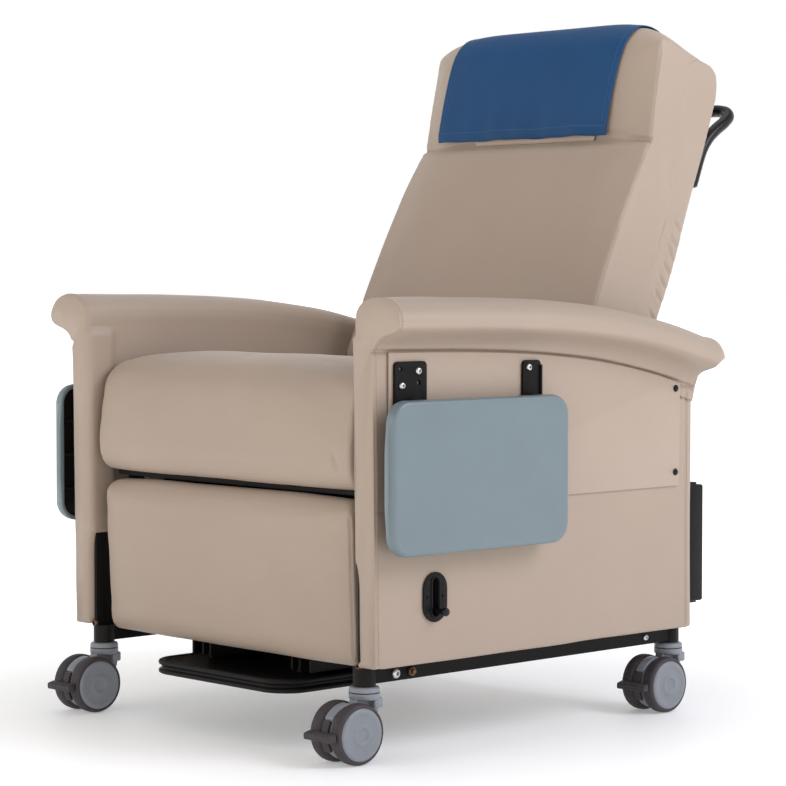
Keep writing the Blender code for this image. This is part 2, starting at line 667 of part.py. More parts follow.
# ---------------------------------------------------------------- side tables
def side_table(label, side):
    axis_x, axis_z = TABLE_AXIS
    axis = empty("table_axis_" + label, (side * axis_x, 0.0, axis_z), ROOT)
    low = (TABLE_Y[0], TABLE_Z[0] - axis_z)
    high = (TABLE_Y[1], TABLE_Z[1] - axis_z)
    depths = ((0.0, 0.001), (0.002, 0.0), (0.011, 0.0), (0.016, 0.0025), (0.019, 0.006), (0.020, 0.010))
    rings = []
    for depth, inset in depths:
        ring = rounded((low[0] + inset, low[1] + inset), (high[0] - inset, high[1] - inset),
                       TABLE_CORNER - inset, 5)
        rings.append([(side * (TABLE_X[0] - axis_x + depth), y, z) for y, z in ring])
    shell = loft("table_top_" + label, rings, axis)
    recess = slab("recess", [rounded((low[0] + 0.008, low[1] + 0.008), (high[0] - 0.008, high[1] - 0.008),
                                     TABLE_CORNER - 0.008, 5)], 0.020, "YZ",
                  (side * (TABLE_X[0] - axis_x + 0.002), 0, 0), axis)
    cut(shell, recess)
    finish(shell, SLATE)

    wall = 0.0085
    outer = rounded((low[0] + wall, low[1] + wall), (high[0] - wall, high[1] - wall), TABLE_CORNER - wall, 5)
    base = side * (TABLE_X[0] - axis_x + 0.0095)
    tray = slab("table_base_" + label, [outer], 0.004, "YZ", (base, 0, 0), axis)
    ribs = []
    for z in (-0.060, -0.122, -0.184):
        ribs.append(span("rib", sorted((base, side * (TABLE_X[0] - axis_x + 0.002))), (low[0] + 0.012, high[0] - 0.012),
                         (z - 0.002, z + 0.002), axis))
    for y in (-0.263, -0.232, 0.018, 0.047):
        outline = link_outline((0, 0), (side * 0.0145, -0.0145), 0.0065, 6)
        ribs.append(slab("lug", [outline], 0.008, "XZ", (0, y, 0), axis))
    join(tray, *ribs)
    cut(tray, cylinder("pin_bore", TABLE_PIN_R + 0.0004, 0.40, (0, -0.10, 0), axis, axis="Y"))
    finish(tray, BLACK_PLASTIC)
    pin = cylinder("table_pin_" + label, TABLE_PIN_R, 0.326, (0, -0.107, 0), axis, axis="Y")
    finish(pin, ZINC)

    plate_x = side * (PANEL_OUT + GAP + INSET_T + GAP + BRACKET_T / 2)
    for place, y0, y1, top in (("front", -0.283, -0.212, 0.648), ("rear", 0.011, 0.054, 0.644)):
        outline = rounded((y0, 0.470), (y1, top), 0.008, 3)
        plate = slab("table_bracket_" + place + "_" + label, [outline], BRACKET_T, "YZ", (plate_x, 0, 0), ROOT)
        middle = (y0 + y1) / 2
        eye = slab("eye", [link_outline((side * axis_x, axis_z), (plate_x + side * 0.005, axis_z), 0.0070, 6)], 0.012,
                   "XZ", (0, middle, 0), ROOT)
        join(plate, eye)
        cut(plate, cylinder("eye_hole", TABLE_PIN_R + 0.0005, 0.03, (side * axis_x, middle, axis_z), ROOT, axis="Y"))
        finish(plate, BLACK_STEEL)


# ---------------------------------------------------------------- release lever
def release_lever():
    pivot_y, pivot_z = LEVER_PIVOT
    plate_y = pivot_y - LEVER_REACH
    plate_x = PANEL_OUT + GAP + 0.0015
    outlines = [stadium((plate_y, pivot_z), 0.027, 0.041, 8), stadium((plate_y, pivot_z), 0.0065, 0.031, 4)]
    finish(slab("lever_plate", outlines, 0.003, "YZ", (plate_x, 0, 0), ROOT), BLACK_PLASTIC)

    axis = empty("release_lever_axis", (0.0, pivot_y, pivot_z), ROOT)
    reach = LEVER_REACH * math.cos(LEVER_START)
    drop = LEVER_REACH * math.sin(LEVER_START)
    outlines = [link_outline((0, 0), (-reach, -drop), 0.011), circle((0, 0), 0.0066)]
    arm = slab("release_lever", outlines, 0.004, "YZ", (0.3470, 0, 0), axis)
    pin = cylinder("lever_pin", LEVER_PIN_R, 0.082, (0.3455 + 0.041, -reach, -drop), axis, sides=12)
    knob = cylinder("lever_knob", 0.0065, 0.010, (0.428, -reach, -drop), axis, sides=12)
    join(arm, pin, knob)
    finish(arm, BLACK_PLASTIC)


# ---------------------------------------------------------------- rear box
def rear_box():
    """Closed black box behind the left arm, hooked to the frame."""
    case = span("rear_box", (0.300, 0.392), (PANEL_REAR + 0.006, 0.503), (0.193, 0.412), ROOT, bevel=0.006)
    finish(case, BLACK_PLASTIC)


# ---------------------------------------------------------------- casters
def caster(label, x, y):
    """Twin-wheel caster: the horn swivels in the socket, and the pedal turns about the axle."""
    swivel = empty("caster_axis_" + label, (x, y, 0.0), ROOT)
    hub = (-CASTER_TRAIL, WHEEL_R)
    horn = slab("caster_horn_" + label, [hood_outline(hub)], 0.019, "YZ", (0, 0, 0), swivel)
    collar = cylinder("collar", 0.0255, 0.0205, (0, 0, 0.1113), swivel, axis="Z", sides=20)
    cheek = span("cheek", (-0.022, 0.022), (0.004, 0.023), (0.086, 0.103), swivel)
    stem = cylinder("stem", 0.0055, 0.035, (0, 0, 0.134), swivel, axis="Z", sides=12)
    axle = cylinder("axle", 0.005, 0.048, (0, *hub), swivel, sides=12)
    join(horn, collar, cheek, stem, axle)
    finish(horn, GREY_PLASTIC)
    for place, side in (("a", 1.0), ("b", -1.0)):
        wheel("caster_wheel_" + label + "_" + place, side, hub, swivel)
    pedal(label, hub, swivel)


def hood_outline(hub):
    """Side view of the horn: a round hood about the axle that runs up into the collar."""
    hub_y, hub_z = hub
    points = arc(hub, 0.0435, 95, 335, 14)
    points += [(0.0235, 0.080), (0.0235, 0.103), (-0.0235, 0.103), (-0.026, hub_z + 0.046)]
    return points


def wheel(name, side, hub, parent):
    """Turned wheel with a blind bore; the profile runs from the outer face to the inner one."""
    inner = 0.0105
    profile = [(WHEEL_W, 0.0), (WHEEL_W, 0.019), (WHEEL_W - 0.001, 0.020), (WHEEL_W - 0.001, 0.043),
               (WHEEL_W - 0.004, 0.048), (WHEEL_W - 0.009, WHEEL_R), (0.005, WHEEL_R), (0.0, 0.046),
               (0.0, 0.0055), (0.016, 0.0055), (0.016, 0.0)]
    mesh = bpy.data.meshes.new(name)
    made = bmesh.new()
    last = None
    for depth, radius in profile:
        vert = made.verts.new((radius, 0.0, depth))
        if last:
            made.edges.new((last, vert))
        last = vert
    made.to_mesh(mesh)
    made.free()
    tilt = (0.0, math.pi / 2 * side, 0.0)
    obj = add_object(name, mesh, (side * inner, *hub), parent, tilt, smooth=False)
    screw = obj.modifiers.new("turned", "SCREW")
    screw.axis = "Z"
    screw.steps = 24
    screw.render_steps = 24
    screw.use_merge_vertices = True
    screw.merge_threshold = 0.00001
    screw.use_smooth_shade = True
    return finish(obj, TYRE_GREY)


def pedal(label, hub, parent):
    axis = empty("pedal_axis_" + label, (0.0, *hub), parent)
    strip = arc((0, 0), 0.0495, 112, 214, 8) + arc((0, 0), 0.0445, 214, 112, 8)
    strip.reverse()
    body = slab("brake_pedal_" + label, [strip], 0.016, "YZ", (0, 0, 0), axis)
    lip = arc((0, 0), 0.066, 176, 186, 2) + arc((0, 0), 0.0515, 188, 172, 3)
    lip.reverse()
    tread = slab("tread", [lip], 0.066, "YZ", (0, 0, 0), axis)
    neck = span("neck", (-0.008, 0.008), (-0.056, -0.047), (-0.005, 0.004), axis)
    join(body, neck, tread)
    finish(body, TYRE_GREY)


# ---------------------------------------------------------------- build
for side_label, side_sign in SIDES:
    side_frame(side_label, side_sign)
    side_panel(side_label, side_sign)
    inset_panel(side_label, side_sign)
    arm_roll(side_label, side_sign)
    side_table(side_label, side_sign)
    for end_label, end_y in (("front", CASTER_FRONT_Y), ("rear", CASTER_REAR_Y)):
        caster(end_label + "_" + side_label, side_sign * CASTER_X, end_y)
cross_members()
seat()
back_frame()
gas_spring()
back_upholstery()
head_cover()
push_bar()
legrest()
foot_tray()
release_lever()
rear_box()
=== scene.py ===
"""Looks of the patient recliner chair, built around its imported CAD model.

Units are metres and the frame is the CAD's: +Z up, the occupant faces -Y and +X is the
occupant's left. Shapes are drawn about the chair's own datum, the floor point in the middle
between the armrests, and the back is drawn in its own plane: v runs up it and w rearwards, both
from the recline axis.
"""
import json
import math
import random

import bmesh
import bpy
import numpy as np
from mathutils import Matrix, Vector, noise
from mathutils.bvhtree import BVHTree
from mathutils.kdtree import KDTree

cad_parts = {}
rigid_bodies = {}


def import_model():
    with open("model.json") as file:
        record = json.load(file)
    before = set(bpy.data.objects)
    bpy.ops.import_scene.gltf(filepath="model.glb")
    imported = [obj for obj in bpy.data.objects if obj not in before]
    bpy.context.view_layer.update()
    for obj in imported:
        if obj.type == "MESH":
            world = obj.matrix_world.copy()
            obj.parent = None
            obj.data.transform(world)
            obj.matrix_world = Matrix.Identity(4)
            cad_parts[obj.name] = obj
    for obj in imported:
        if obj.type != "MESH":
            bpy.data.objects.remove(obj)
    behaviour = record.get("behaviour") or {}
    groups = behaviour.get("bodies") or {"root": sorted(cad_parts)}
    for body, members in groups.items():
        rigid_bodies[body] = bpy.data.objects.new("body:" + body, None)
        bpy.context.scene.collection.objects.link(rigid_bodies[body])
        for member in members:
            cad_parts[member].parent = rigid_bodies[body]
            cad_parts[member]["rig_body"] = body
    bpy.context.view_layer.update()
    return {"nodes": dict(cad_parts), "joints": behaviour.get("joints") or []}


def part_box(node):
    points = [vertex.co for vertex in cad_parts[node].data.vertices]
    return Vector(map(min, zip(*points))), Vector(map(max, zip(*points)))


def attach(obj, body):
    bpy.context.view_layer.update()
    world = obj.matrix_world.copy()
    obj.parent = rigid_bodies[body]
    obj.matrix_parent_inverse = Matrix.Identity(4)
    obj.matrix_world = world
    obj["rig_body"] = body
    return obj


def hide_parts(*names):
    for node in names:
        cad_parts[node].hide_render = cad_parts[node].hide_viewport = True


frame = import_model()
NODES = frame["nodes"]
BOX = {name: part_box(name) for name in NODES}
PIVOT = {joint["name"]: joint["pos_m"] for joint in frame["joints"] if "pos_m" in joint}
SIDES = (("left", 1.0), ("right", -1.0))

# ---------------------------------------------------------------- sizes
DATUM_Y = BOX["seat_cushion"][0].y + 0.320
RECLINE_Y, RECLINE_Z = PIVOT["back_recline"][1:]
LEAN = math.radians(22.0)
ARM_IN, ARM_CREST = BOX["arm_roll_left"][0].x, BOX["arm_roll_left"][1].z
PANEL_IN, PANEL_OUT = BOX["side_panel_left"][0].x, BOX["side_panel_left"][1].x
PANEL_BOTTOM = BOX["side_panel_left"][0].z
PANEL_FRONT = -0.315
PANEL_RAKE = 0.008
PANEL_REAR = BOX["side_panel_left"][1].y - DATUM_Y
ARM_TIP = BOX["arm_roll_left"][1].y - DATUM_Y
SEAT_HALF = BOX["seat_cushion"][1].x
SEAT_BOTTOM = BOX["seat_cushion"][0].z
LEVER_Y, LEVER_Z = -0.186, 0.262
TABLE_X = (BOX["table_top_left"][0].x, BOX["table_top_left"][1].x)
SWELL = 0.0005                  # a pad is drawn in by this much before the cloth swells it again
SWELL_CAP = 0.0040              # no point moves outwards by more than this
PULL_CAP = 0.0008               # or inwards, where the cover pulls in between its corners
CLOTH_VOXEL = 0.011
CLOTH_PRESSURE = 4.0
CLOTH_FRAMES = 20
WELD = 0.00001                  # points nearer than this become one
WORLD_STRENGTH = 1.0
KEY_POWER = 66.0
TOP_POWER = 20.0
FRONT_POWER = 21.0


def at(x, y, z):
    """A point of the chair's own frame."""
    return Vector((x, y + DATUM_Y, z))


def side_extent(node):
    """A node's low and high y in the chair's own frame, and its low and high z."""
    low, high = BOX[node]
    return low.y - DATUM_Y, high.y - DATUM_Y, low.z, high.z


def clamp(value):
    """The value, kept between 0 and 1."""
    return min(1.0, max(0.0, value))


def angles_round(count):
    """Equal steps of one whole turn."""
    return [2 * math.pi * index / count for index in range(count)]


def on_back(x, w, v):
    """A point of the back's own plane, with the back upright."""
    return Vector((x, RECLINE_Y + v * math.sin(LEAN) + w * math.cos(LEAN),
                   RECLINE_Z + v * math.cos(LEAN) - w * math.sin(LEAN)))


# ---------------------------------------------------------------- materials
def surface(name, colour, roughness, metallic=0.0, mottle=0.05, mottle_scale=9.0, edge_wear_and_highlight=None,
            grain=0.0, grain_scale=430.0, fine_scale=1500.0, rough_spread=0.06, sheen=0.0, coat=0.0,
            streak=None, specular=0.5):
    """A procedural finish: mottled colour, edges lightened partly for wear and partly as a painted
    highlight, a fine grain and uneven gloss.
    """
    made = bpy.data.materials.new(name)
    made.use_nodes = True
    tree = made.node_tree
    shader = tree.nodes["Principled BSDF"]
    place = tree.nodes.new("ShaderNodeTexCoord").outputs["Object"]
    if streak:
        stretch = tree.nodes.new("ShaderNodeMapping")
        stretch.inputs["Scale"].default_value = streak
        tree.links.new(place, stretch.inputs["Vector"])
        place = stretch.outputs["Vector"]

    def texture(kind, scale, **settings):
        node = tree.nodes.new(kind)
        node.inputs["Scale"].default_value = scale
        for key, value in settings.items():
            node.inputs[key].default_value = value
        tree.links.new(place, node.inputs["Vector"])
        return node

    cloudy = texture("ShaderNodeTexNoise", mottle_scale, Detail=5.0, Roughness=0.6)
    tone = tree.nodes.new("ShaderNodeValToRGB")
    for stop, position, share in zip(tone.color_ramp.elements, (0.32, 0.68),
                                     (1.0 - mottle, 1.0 + mottle)):
        stop.position = position
        stop.color = (*(min(1.0, channel * share) for channel in colour), 1.0)
    tree.links.new(cloudy.outputs[0], tone.inputs[0])
    painted = tone.outputs[0]
    # Convex edges take a lighter colour by pointiness: partly edge wear, partly a painted
    # highlight.
    if edge_wear_and_highlight:
        edge = tree.nodes.new("ShaderNodeValToRGB")
        edge.color_ramp.elements[0].position, edge.color_ramp.elements[1].position = 0.52, 0.62
        tree.links.new(tree.nodes.new("ShaderNodeNewGeometry").outputs["Pointiness"],
                       edge.inputs[0])
        worn_and_highlit = tree.nodes.new("ShaderNodeMix")
        worn_and_highlit.data_type = "RGBA"
        tree.links.new(edge.outputs[0], worn_and_highlit.inputs["Factor"])
        tree.links.new(painted, worn_and_highlit.inputs[6])
        worn_and_highlit.inputs[7].default_value = (*edge_wear_and_highlight, 1.0)
        painted = worn_and_highlit.outputs[2]
    tree.links.new(painted, shader.inputs["Base Color"])

    spread = tree.nodes.new("ShaderNodeMapRange")
    spread.inputs["To Min"].default_value = roughness - rough_spread
    spread.inputs["To Max"].default_value = roughness + rough_spread
    patches = texture("ShaderNodeTexNoise", mottle_scale * 3.1, Detail=4.0)
    tree.links.new(patches.outputs[0], spread.inputs["Value"])
    tree.links.new(spread.outputs[0], shader.inputs["Roughness"])

    pebbles = texture("ShaderNodeTexVoronoi", grain_scale)
    fine = texture("ShaderNodeTexNoise", fine_scale, Detail=3.0)
    height = tree.nodes.new("ShaderNodeMath")
    height.operation = "ADD"
    tree.links.new(pebbles.outputs["Distance"], height.inputs[0])
    tree.links.new(fine.outputs[0], height.inputs[1])
    bump = tree.nodes.new("ShaderNodeBump")
    bump.inputs["Strength"].default_value = min(1.0, grain)
    bump.inputs["Distance"].default_value = 0.0004
    tree.links.new(height.outputs[0], bump.inputs["Height"])
    tree.links.new(bump.outputs[0], shader.inputs["Normal"])

    shader.inputs["Metallic"].default_value = metallic
    shader.inputs["Specular IOR Level"].default_value = specular
    shader.inputs["Sheen Weight"].default_value = sheen
    shader.inputs["Coat Weight"].default_value = coat
    shader.inputs["Coat Roughness"].default_value = 0.12
    return made


# The lighter edge colour given to each finish below marks convex edges: partly wear, partly a
# painted highlight.
BEIGE_VINYL = surface("beige_vinyl_grain", (0.360, 0.276, 0.213), 0.47, mottle=0.025,
                      mottle_scale=5.0, edge_wear_and_highlight=(0.42, 0.33, 0.26), grain=0.30, sheen=0.10)
BEIGE_THREAD = surface("beige_thread", (0.30, 0.23, 0.175), 0.75, mottle=0.10, mottle_scale=400.0,
                       grain=0.6)
BLUE_VINYL = surface("blue_vinyl_grain", (0.0066, 0.055, 0.155), 0.50, mottle=0.06,
                     mottle_scale=6.0, edge_wear_and_highlight=(0.012, 0.075, 0.18), grain=0.34, specular=0.20)
BLUE_THREAD = surface("blue_thread", (0.05, 0.13, 0.27), 0.75, mottle=0.10, mottle_scale=400.0,
                      grain=0.6)
SLATE_PLASTIC = surface("slate_plastic_moulded", (0.136, 0.178, 0.197), 0.33, mottle=0.03,
                        mottle_scale=14.0, edge_wear_and_highlight=(0.21, 0.26, 0.28), grain=0.10, grain_scale=900.0,
                        coat=0.15)
BLACK_STEEL = surface("black_powder_coat", (0.0048, 0.0038, 0.0034), 0.40, mottle=0.25,
                      mottle_scale=30.0, edge_wear_and_highlight=(0.014, 0.012, 0.011), grain=0.35, grain_scale=1300.0,
                      specular=0.11)
BLACK_TUBE = surface("black_satin_tube", (0.0060, 0.0055, 0.0060), 0.28, mottle=0.2,
                     mottle_scale=25.0, edge_wear_and_highlight=(0.016, 0.015, 0.016), grain=0.10, grain_scale=1500.0,
                     coat=0.08, specular=0.2)
BLACK_PLASTIC = surface("black_moulded_plastic", (0.0055, 0.0045, 0.0044), 0.38, mottle=0.2,
                        mottle_scale=20.0, edge_wear_and_highlight=(0.015, 0.014, 0.014), grain=0.28,
                        grain_scale=1100.0, specular=0.14)
CASTER_GREY = surface("caster_grey_plastic", (0.195, 0.208, 0.232), 0.36, mottle=0.05,
                      mottle_scale=40.0, edge_wear_and_highlight=(0.27, 0.285, 0.31), grain=0.14, grain_scale=1000.0)
TYRE_GREY = surface("tyre_rubber", (0.046, 0.038, 0.040), 0.60, mottle=0.16, mottle_scale=60.0,
                    edge_wear_and_highlight=(0.075, 0.065, 0.068), grain=0.5, grain_scale=900.0, specular=0.3)
# Painted shade: the legrest's plywood board is coloured near black because it lies in the dark
# shadow under the seat.
SHADE_BLACK_BOARD = surface("board_painted_shade_black", (0.008, 0.006, 0.0055), 0.60, mottle=0.3,
                      mottle_scale=20.0, grain=0.6, grain_scale=600.0, specular=0.2,
                      streak=(0.12, 1.0, 1.0))
ZINC = surface("zinc_plated_steel", (0.56, 0.56, 0.57), 0.27, metallic=1.0, mottle=0.12,
               mottle_scale=90.0, edge_wear_and_highlight=(0.75, 0.75, 0.75), grain=0.2, grain_scale=1800.0)
BROWN_STEEL = surface("brown_bolt_steel", (0.115, 0.060, 0.038), 0.38, metallic=0.8, mottle=0.2,
                      mottle_scale=90.0, edge_wear_and_highlight=(0.25, 0.14, 0.08), grain=0.2, grain_scale=1800.0)
FLOOR = surface("pale_glowing_floor", (0.86, 0.86, 0.86), 0.55, mottle=0.006, mottle_scale=2.0, grain=0.05,
                grain_scale=300.0)
FLOOR_SHADER = FLOOR.node_tree.nodes["Principled BSDF"]
# Painted light: the floor is given a white glow, whose strength is set by distance from the chair
# in make_studio.
FLOOR_SHADER.inputs["Emission Color"].default_value = (1.0, 1.0, 1.0, 1.0)
# The plywood slot takes the near-black board, which is painted shade under the seat.
SLOT_LOOKS = {"black_steel": BLACK_STEEL, "black_plastic": BLACK_PLASTIC,
              "caster_grey": CASTER_GREY, "tyre_grey": TYRE_GREY, "plywood": SHADE_BLACK_BOARD,
              "zinc_steel": ZINC, "slate_plastic": SLATE_PLASTIC, "beige_vinyl": BEIGE_VINYL,
              "blue_vinyl": BLUE_VINYL}


# ---------------------------------------------------------------- meshes
def add_object(name, data):
    obj = bpy.data.objects.new(name, data)
    bpy.context.scene.collection.objects.link(obj)
    return obj


def welded(mesh):
    """The mesh as a bmesh whose points are welded and whose faces look outwards."""
    made = bmesh.new()
    made.from_mesh(mesh)
    bmesh.ops.remove_doubles(made, verts=made.verts, dist=WELD)
    bmesh.ops.recalc_face_normals(made, faces=made.faces)
    return made


def shape_of(made):
    """The points and faces of a bmesh, which is then freed."""
    made.verts.index_update()
    faces = [tuple(vert.index for vert in face.verts) for face in made.faces]
    shape = [vert.co[:] for vert in made.verts], faces
    made.free()
    return shape


def mesh_piece(name, verts, faces, *materials, indices=None, sharp=None):
    """A welded, smooth-shaded mesh object whose points are in the frame's metres."""
    mesh = bpy.data.meshes.new(name)
    mesh.from_pydata([tuple(vert) for vert in verts], [], faces)
    for material in materials:
        mesh.materials.append(material)
    if indices:
        mesh.polygons.foreach_set("material_index", indices)
    made = welded(mesh)
    made.to_mesh(mesh)
    made.free()
    mesh.shade_smooth()
    if sharp:
        mesh.set_sharp_from_angle(angle=math.radians(sharp))
    return add_object(name, mesh)


def stand_in(obj, slot, *nodes, body=None):
    """The piece rides on the body, or else on its first node's, and replaces all of its nodes."""
    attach(obj, body or NODES[nodes[0]]["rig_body"])
    if nodes:
        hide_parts(*nodes)
    return obj


def evaluated(obj):
    return obj.evaluated_get(bpy.context.evaluated_depsgraph_get())


def settle(obj):
    """Applies the modifiers."""
    mesh = bpy.data.meshes.new_from_object(evaluated(obj))
    obj.modifiers.clear()
    obj.data = mesh


def remesh(obj, voxel):
    even = obj.modifiers.new("even", "REMESH")
    even.mode = "VOXEL"
    even.voxel_size = voxel


def subdivide(obj):
    finer = obj.modifiers.new("finer", "SUBSURF")
    finer.levels = finer.render_levels = 1
    settle(obj)


def points_of(mesh):
    flat = np.empty(len(mesh.vertices) * 3)
    mesh.vertices.foreach_get("co", flat)
    return flat.reshape(-1, 3)


def normals_of(mesh):
    flat = np.empty(len(mesh.vertices) * 3, np.float32)
    mesh.vertex_normals.foreach_get("vector", flat)
    return flat.reshape(-1, 3).astype(float)


def move_to(mesh, points):
    mesh.vertices.foreach_set("co", np.ascontiguousarray(points, float).ravel())
    mesh.update()


def curve_through(points, count, closed=False):
    """Evenly spaced points on a smooth curve through the given ones, in two or three dimensions."""
    given = np.array([tuple(point) for point in points], float)
    knots = np.vstack([given, given[:1]]) if closed else given
    chord = np.maximum(np.linalg.norm(np.diff(knots, axis=0), axis=1, keepdims=True), 1e-9)
    slope = np.diff(knots, axis=0) / chord
    if closed:
        back, back_chord = np.roll(slope, 1, 0), np.roll(chord, 1, 0)
        tangent = (back * chord + slope * back_chord) / (chord + back_chord)
        tangent = np.vstack([tangent, tangent[:1]])
    else:
        inner = (slope[:-1] * chord[1:] + slope[1:] * chord[:-1]) / (chord[1:] + chord[:-1])
        tangent = np.vstack([slope[:1], inner, slope[-1:]])
    dense = []
    for index, span in enumerate(chord):
        start, end = knots[index], knots[index + 1]
        leave, arrive = tangent[index] * span, tangent[index + 1] * span
        for t in np.arange(12) / 12:
            dense.append((2 * t ** 3 - 3 * t ** 2 + 1) * start + (t ** 3 - 2 * t ** 2 + t) * leave
                         + (3 * t ** 2 - 2 * t ** 3) * end + (t ** 3 - t ** 2) * arrive)
    dense = np.array(dense + [knots[-1]])
    run = np.concatenate([[0.0], np.cumsum(np.linalg.norm(np.diff(dense, axis=0), axis=1))])
    stops = np.linspace(0.0, run[-1], count + closed)[:count]
    return np.stack([np.interp(stops, run, dense[:, axis]) for axis in range(dense.shape[1])], 1)


def outward(ring):
    """Outward normals of a closed flat outline."""
    along = np.roll(ring, -1, 0) - np.roll(ring, 1, 0)
    normal = np.stack([along[:, 1], -along[:, 0]], 1)
    normal /= np.maximum(np.linalg.norm(normal, axis=1, keepdims=True), 1e-9)
    after = np.roll(ring, -1, 0)
    area = float((ring[:, 0] * after[:, 1] - ring[:, 1] * after[:, 0]).sum())
    return normal * math.copysign(1.0, area)


def skin(rings):
    """Points and faces of a closed skin through rings of equal count, flat at both ends."""
    count = len(rings[0])
    verts = [tuple(point) for ring in rings for point in ring]
    faces = []
    for row in range(len(rings) - 1):
        low, high = row * count, (row + 1) * count
        faces += [(low + i, low + (i + 1) % count, high + (i + 1) % count, high + i)
                  for i in range(count)]
    faces += [tuple(reversed(range(count))), tuple(range(len(verts) - count, len(verts)))]
    return verts, faces


def together(*shapes):
    """Several closed shapes as the points and faces of one mesh."""
    verts, faces = [], []
    for more_verts, more_faces in shapes:
        faces += [tuple(index + len(verts) for index in face) for face in more_faces]
        verts += [tuple(vert) for vert in more_verts]
    return verts, faces


def add_piece(name, shapes, look, slot, *nodes, body=None, sharp=None):
    """Closed shapes as one piece that stands in for its nodes, or rides on a body."""
    return stand_in(mesh_piece(name, *together(*shapes), look, sharp=sharp), slot, *nodes,
                    body=body)


def block(low, high, bevel=0.001, segments=2):
    """A box with rounded edges."""
    made = bmesh.new()
    bmesh.ops.create_cube(made, size=1.0)
    size = [top - bottom for top, bottom in zip(high, low)]
    bmesh.ops.scale(made, vec=size, verts=made.verts)
    bmesh.ops.translate(made, vec=[(top + bottom) / 2 for top, bottom in zip(high, low)],
                        verts=made.verts)
    bmesh.ops.bevel(made, geom=made.edges[:], offset=bevel, segments=segments, profile=0.5,
                    affect="EDGES")
    return shape_of(made)


def turned(profile, centre, axis, sides=48):
    """A turned solid: profile rows are (distance along the axis, radius)."""
    lean = Vector(axis).to_track_quat("Z", "Y").to_matrix()
    rings = []
    for depth, radius in profile:
        ring = []
        for angle in angles_round(sides):
            spoke = Vector((radius * math.cos(angle), radius * math.sin(angle), depth))
            ring.append(Vector(centre) + lean @ spoke)
        rings.append(ring)
    return skin(rings)


def bolt(centre, axis, radius, height, recess=0.45, sides=24):
    """A domed bolt head with a hexagon socket."""
    lean = Vector(axis).to_track_quat("Z", "Y").to_matrix()
    rings = []
    profile = [(-0.001, 1.0, 0), (0.25 * height, 1.0, 0), (0.6 * height, 0.93, 0),
               (0.88 * height, 0.76, 0), (height, 0.55, 0), (height, recess, 1),
               (0.35 * height, recess * 0.94, 1)]
    for depth, share, hexed in profile:
        ring = []
        for angle in angles_round(sides):
            flat = math.cos(math.pi / 6) / math.cos((angle % (math.pi / 3)) - math.pi / 6)
            reach = radius * share * (flat * 1.08 if hexed else 1.0)
            spoke = Vector((reach * math.cos(angle), reach * math.sin(angle), depth))
            ring.append(Vector(centre) + lean @ spoke)
        rings.append(ring)
    return skin(rings)


def tube(route, radius, sides=20, count=120, cap=0.6):
    """A round bar along a smooth route, with slightly domed ends."""
    path = curve_through(route, count)
    along = np.gradient(path, axis=0)
    along /= np.linalg.norm(along, axis=1, keepdims=True)
    side = Vector(along[0]).orthogonal().normalized()
    rings = []
    for place, forward in zip(path, along):
        forward = Vector(forward)
        side = (side - forward * side.dot(forward)).normalized()
        up = forward.cross(side)
        rings.append([Vector(place) + radius * (math.cos(angle) * side + math.sin(angle) * up)
                      for angle in angles_round(sides)])
    for ring, inner, push in ((rings[0], 0, -1.0), (rings[-1], -1, 1.0)):
        centre = Vector(path[inner]) + Vector(along[inner]) * push * radius * 0.25
        tip = [centre + (point - Vector(path[inner])) * cap for point in ring]
        rings.insert(0 if push < 0 else len(rings), tip)
    return skin(rings)


# A flat outline is drawn in X and Y and then stood in the plane that it belongs to.
STAND = {"YZ": Matrix(((0, 0, 1), (1, 0, 0), (0, 1, 0))).to_4x4(),
         "XZ": Matrix(((1, 0, 0), (0, 0, -1), (0, 1, 0))).to_4x4(), "XY": Matrix.Identity(4)}


def slab(outlines, thickness, plane, centre, bevel=0.0, segments=3):
    """A flat plate of even thickness with rounded edges; outlines after the first are holes."""
    curve = bpy.data.curves.new("outline", "CURVE")
    curve.dimensions = "2D"
    curve.fill_mode = "BOTH"
    curve.extrude = thickness / 2
    for outline in outlines:
        spline = curve.splines.new("POLY")
        spline.points.add(len(outline) - 1)
        for point, (across, up) in zip(spline.points, outline):
            point.co = (across, up, 0.0, 1.0)
        spline.use_cyclic_u = True
    guide = add_object("outline", curve)
    mesh = bpy.data.meshes.new_from_object(evaluated(guide))
    bpy.data.objects.remove(guide, do_unlink=True)
    made = welded(mesh)
    if bevel:
        sharp = [edge for edge in made.edges if edge.is_manifold
                 and edge.calc_face_angle() > math.radians(50)]
        bmesh.ops.bevel(made, geom=sharp, offset=bevel, segments=segments, profile=0.5,
                        affect="EDGES")
    bmesh.ops.transform(made, matrix=Matrix.Translation(centre) @ STAND[plane], verts=made.verts)
    return shape_of(made)


def arc(centre, radius, start, end, steps):
    across, up = centre
    angles = [math.radians(start + (end - start) * index / steps) for index in range(steps + 1)]
    return [(across + radius * math.cos(angle), up + radius * math.sin(angle)) for angle in angles]


def rounded(low, high, radii, steps=8):
    """A rounded rectangle, counter-clockwise from its lower left; radii may differ by corner."""
    if not isinstance(radii, tuple):
        radii = (radii,) * 4
    corners = ((low[0], low[1], 1, 1), (high[0], low[1], -1, 1), (high[0], high[1], -1, -1),
               (low[0], high[1], 1, -1))
    points = []
    for start, radius, (x, y, sx, sy) in zip((180, 270, 0, 90), radii, corners):
        points += arc((x + sx * radius, y + sy * radius), radius, start, start + 90, steps)
    return points


def stadium(centre, half_width, half_height, steps=12):
    across, up = centre
    lift = half_height - half_width
    return (arc((across, up + lift), half_width, 0, 180, steps)
            + arc((across, up - lift), half_width, 180, 360, steps))


def circle(centre, radius, steps=24):
    return arc(centre, radius, 0, 360 * (steps - 1) / steps, steps - 1)


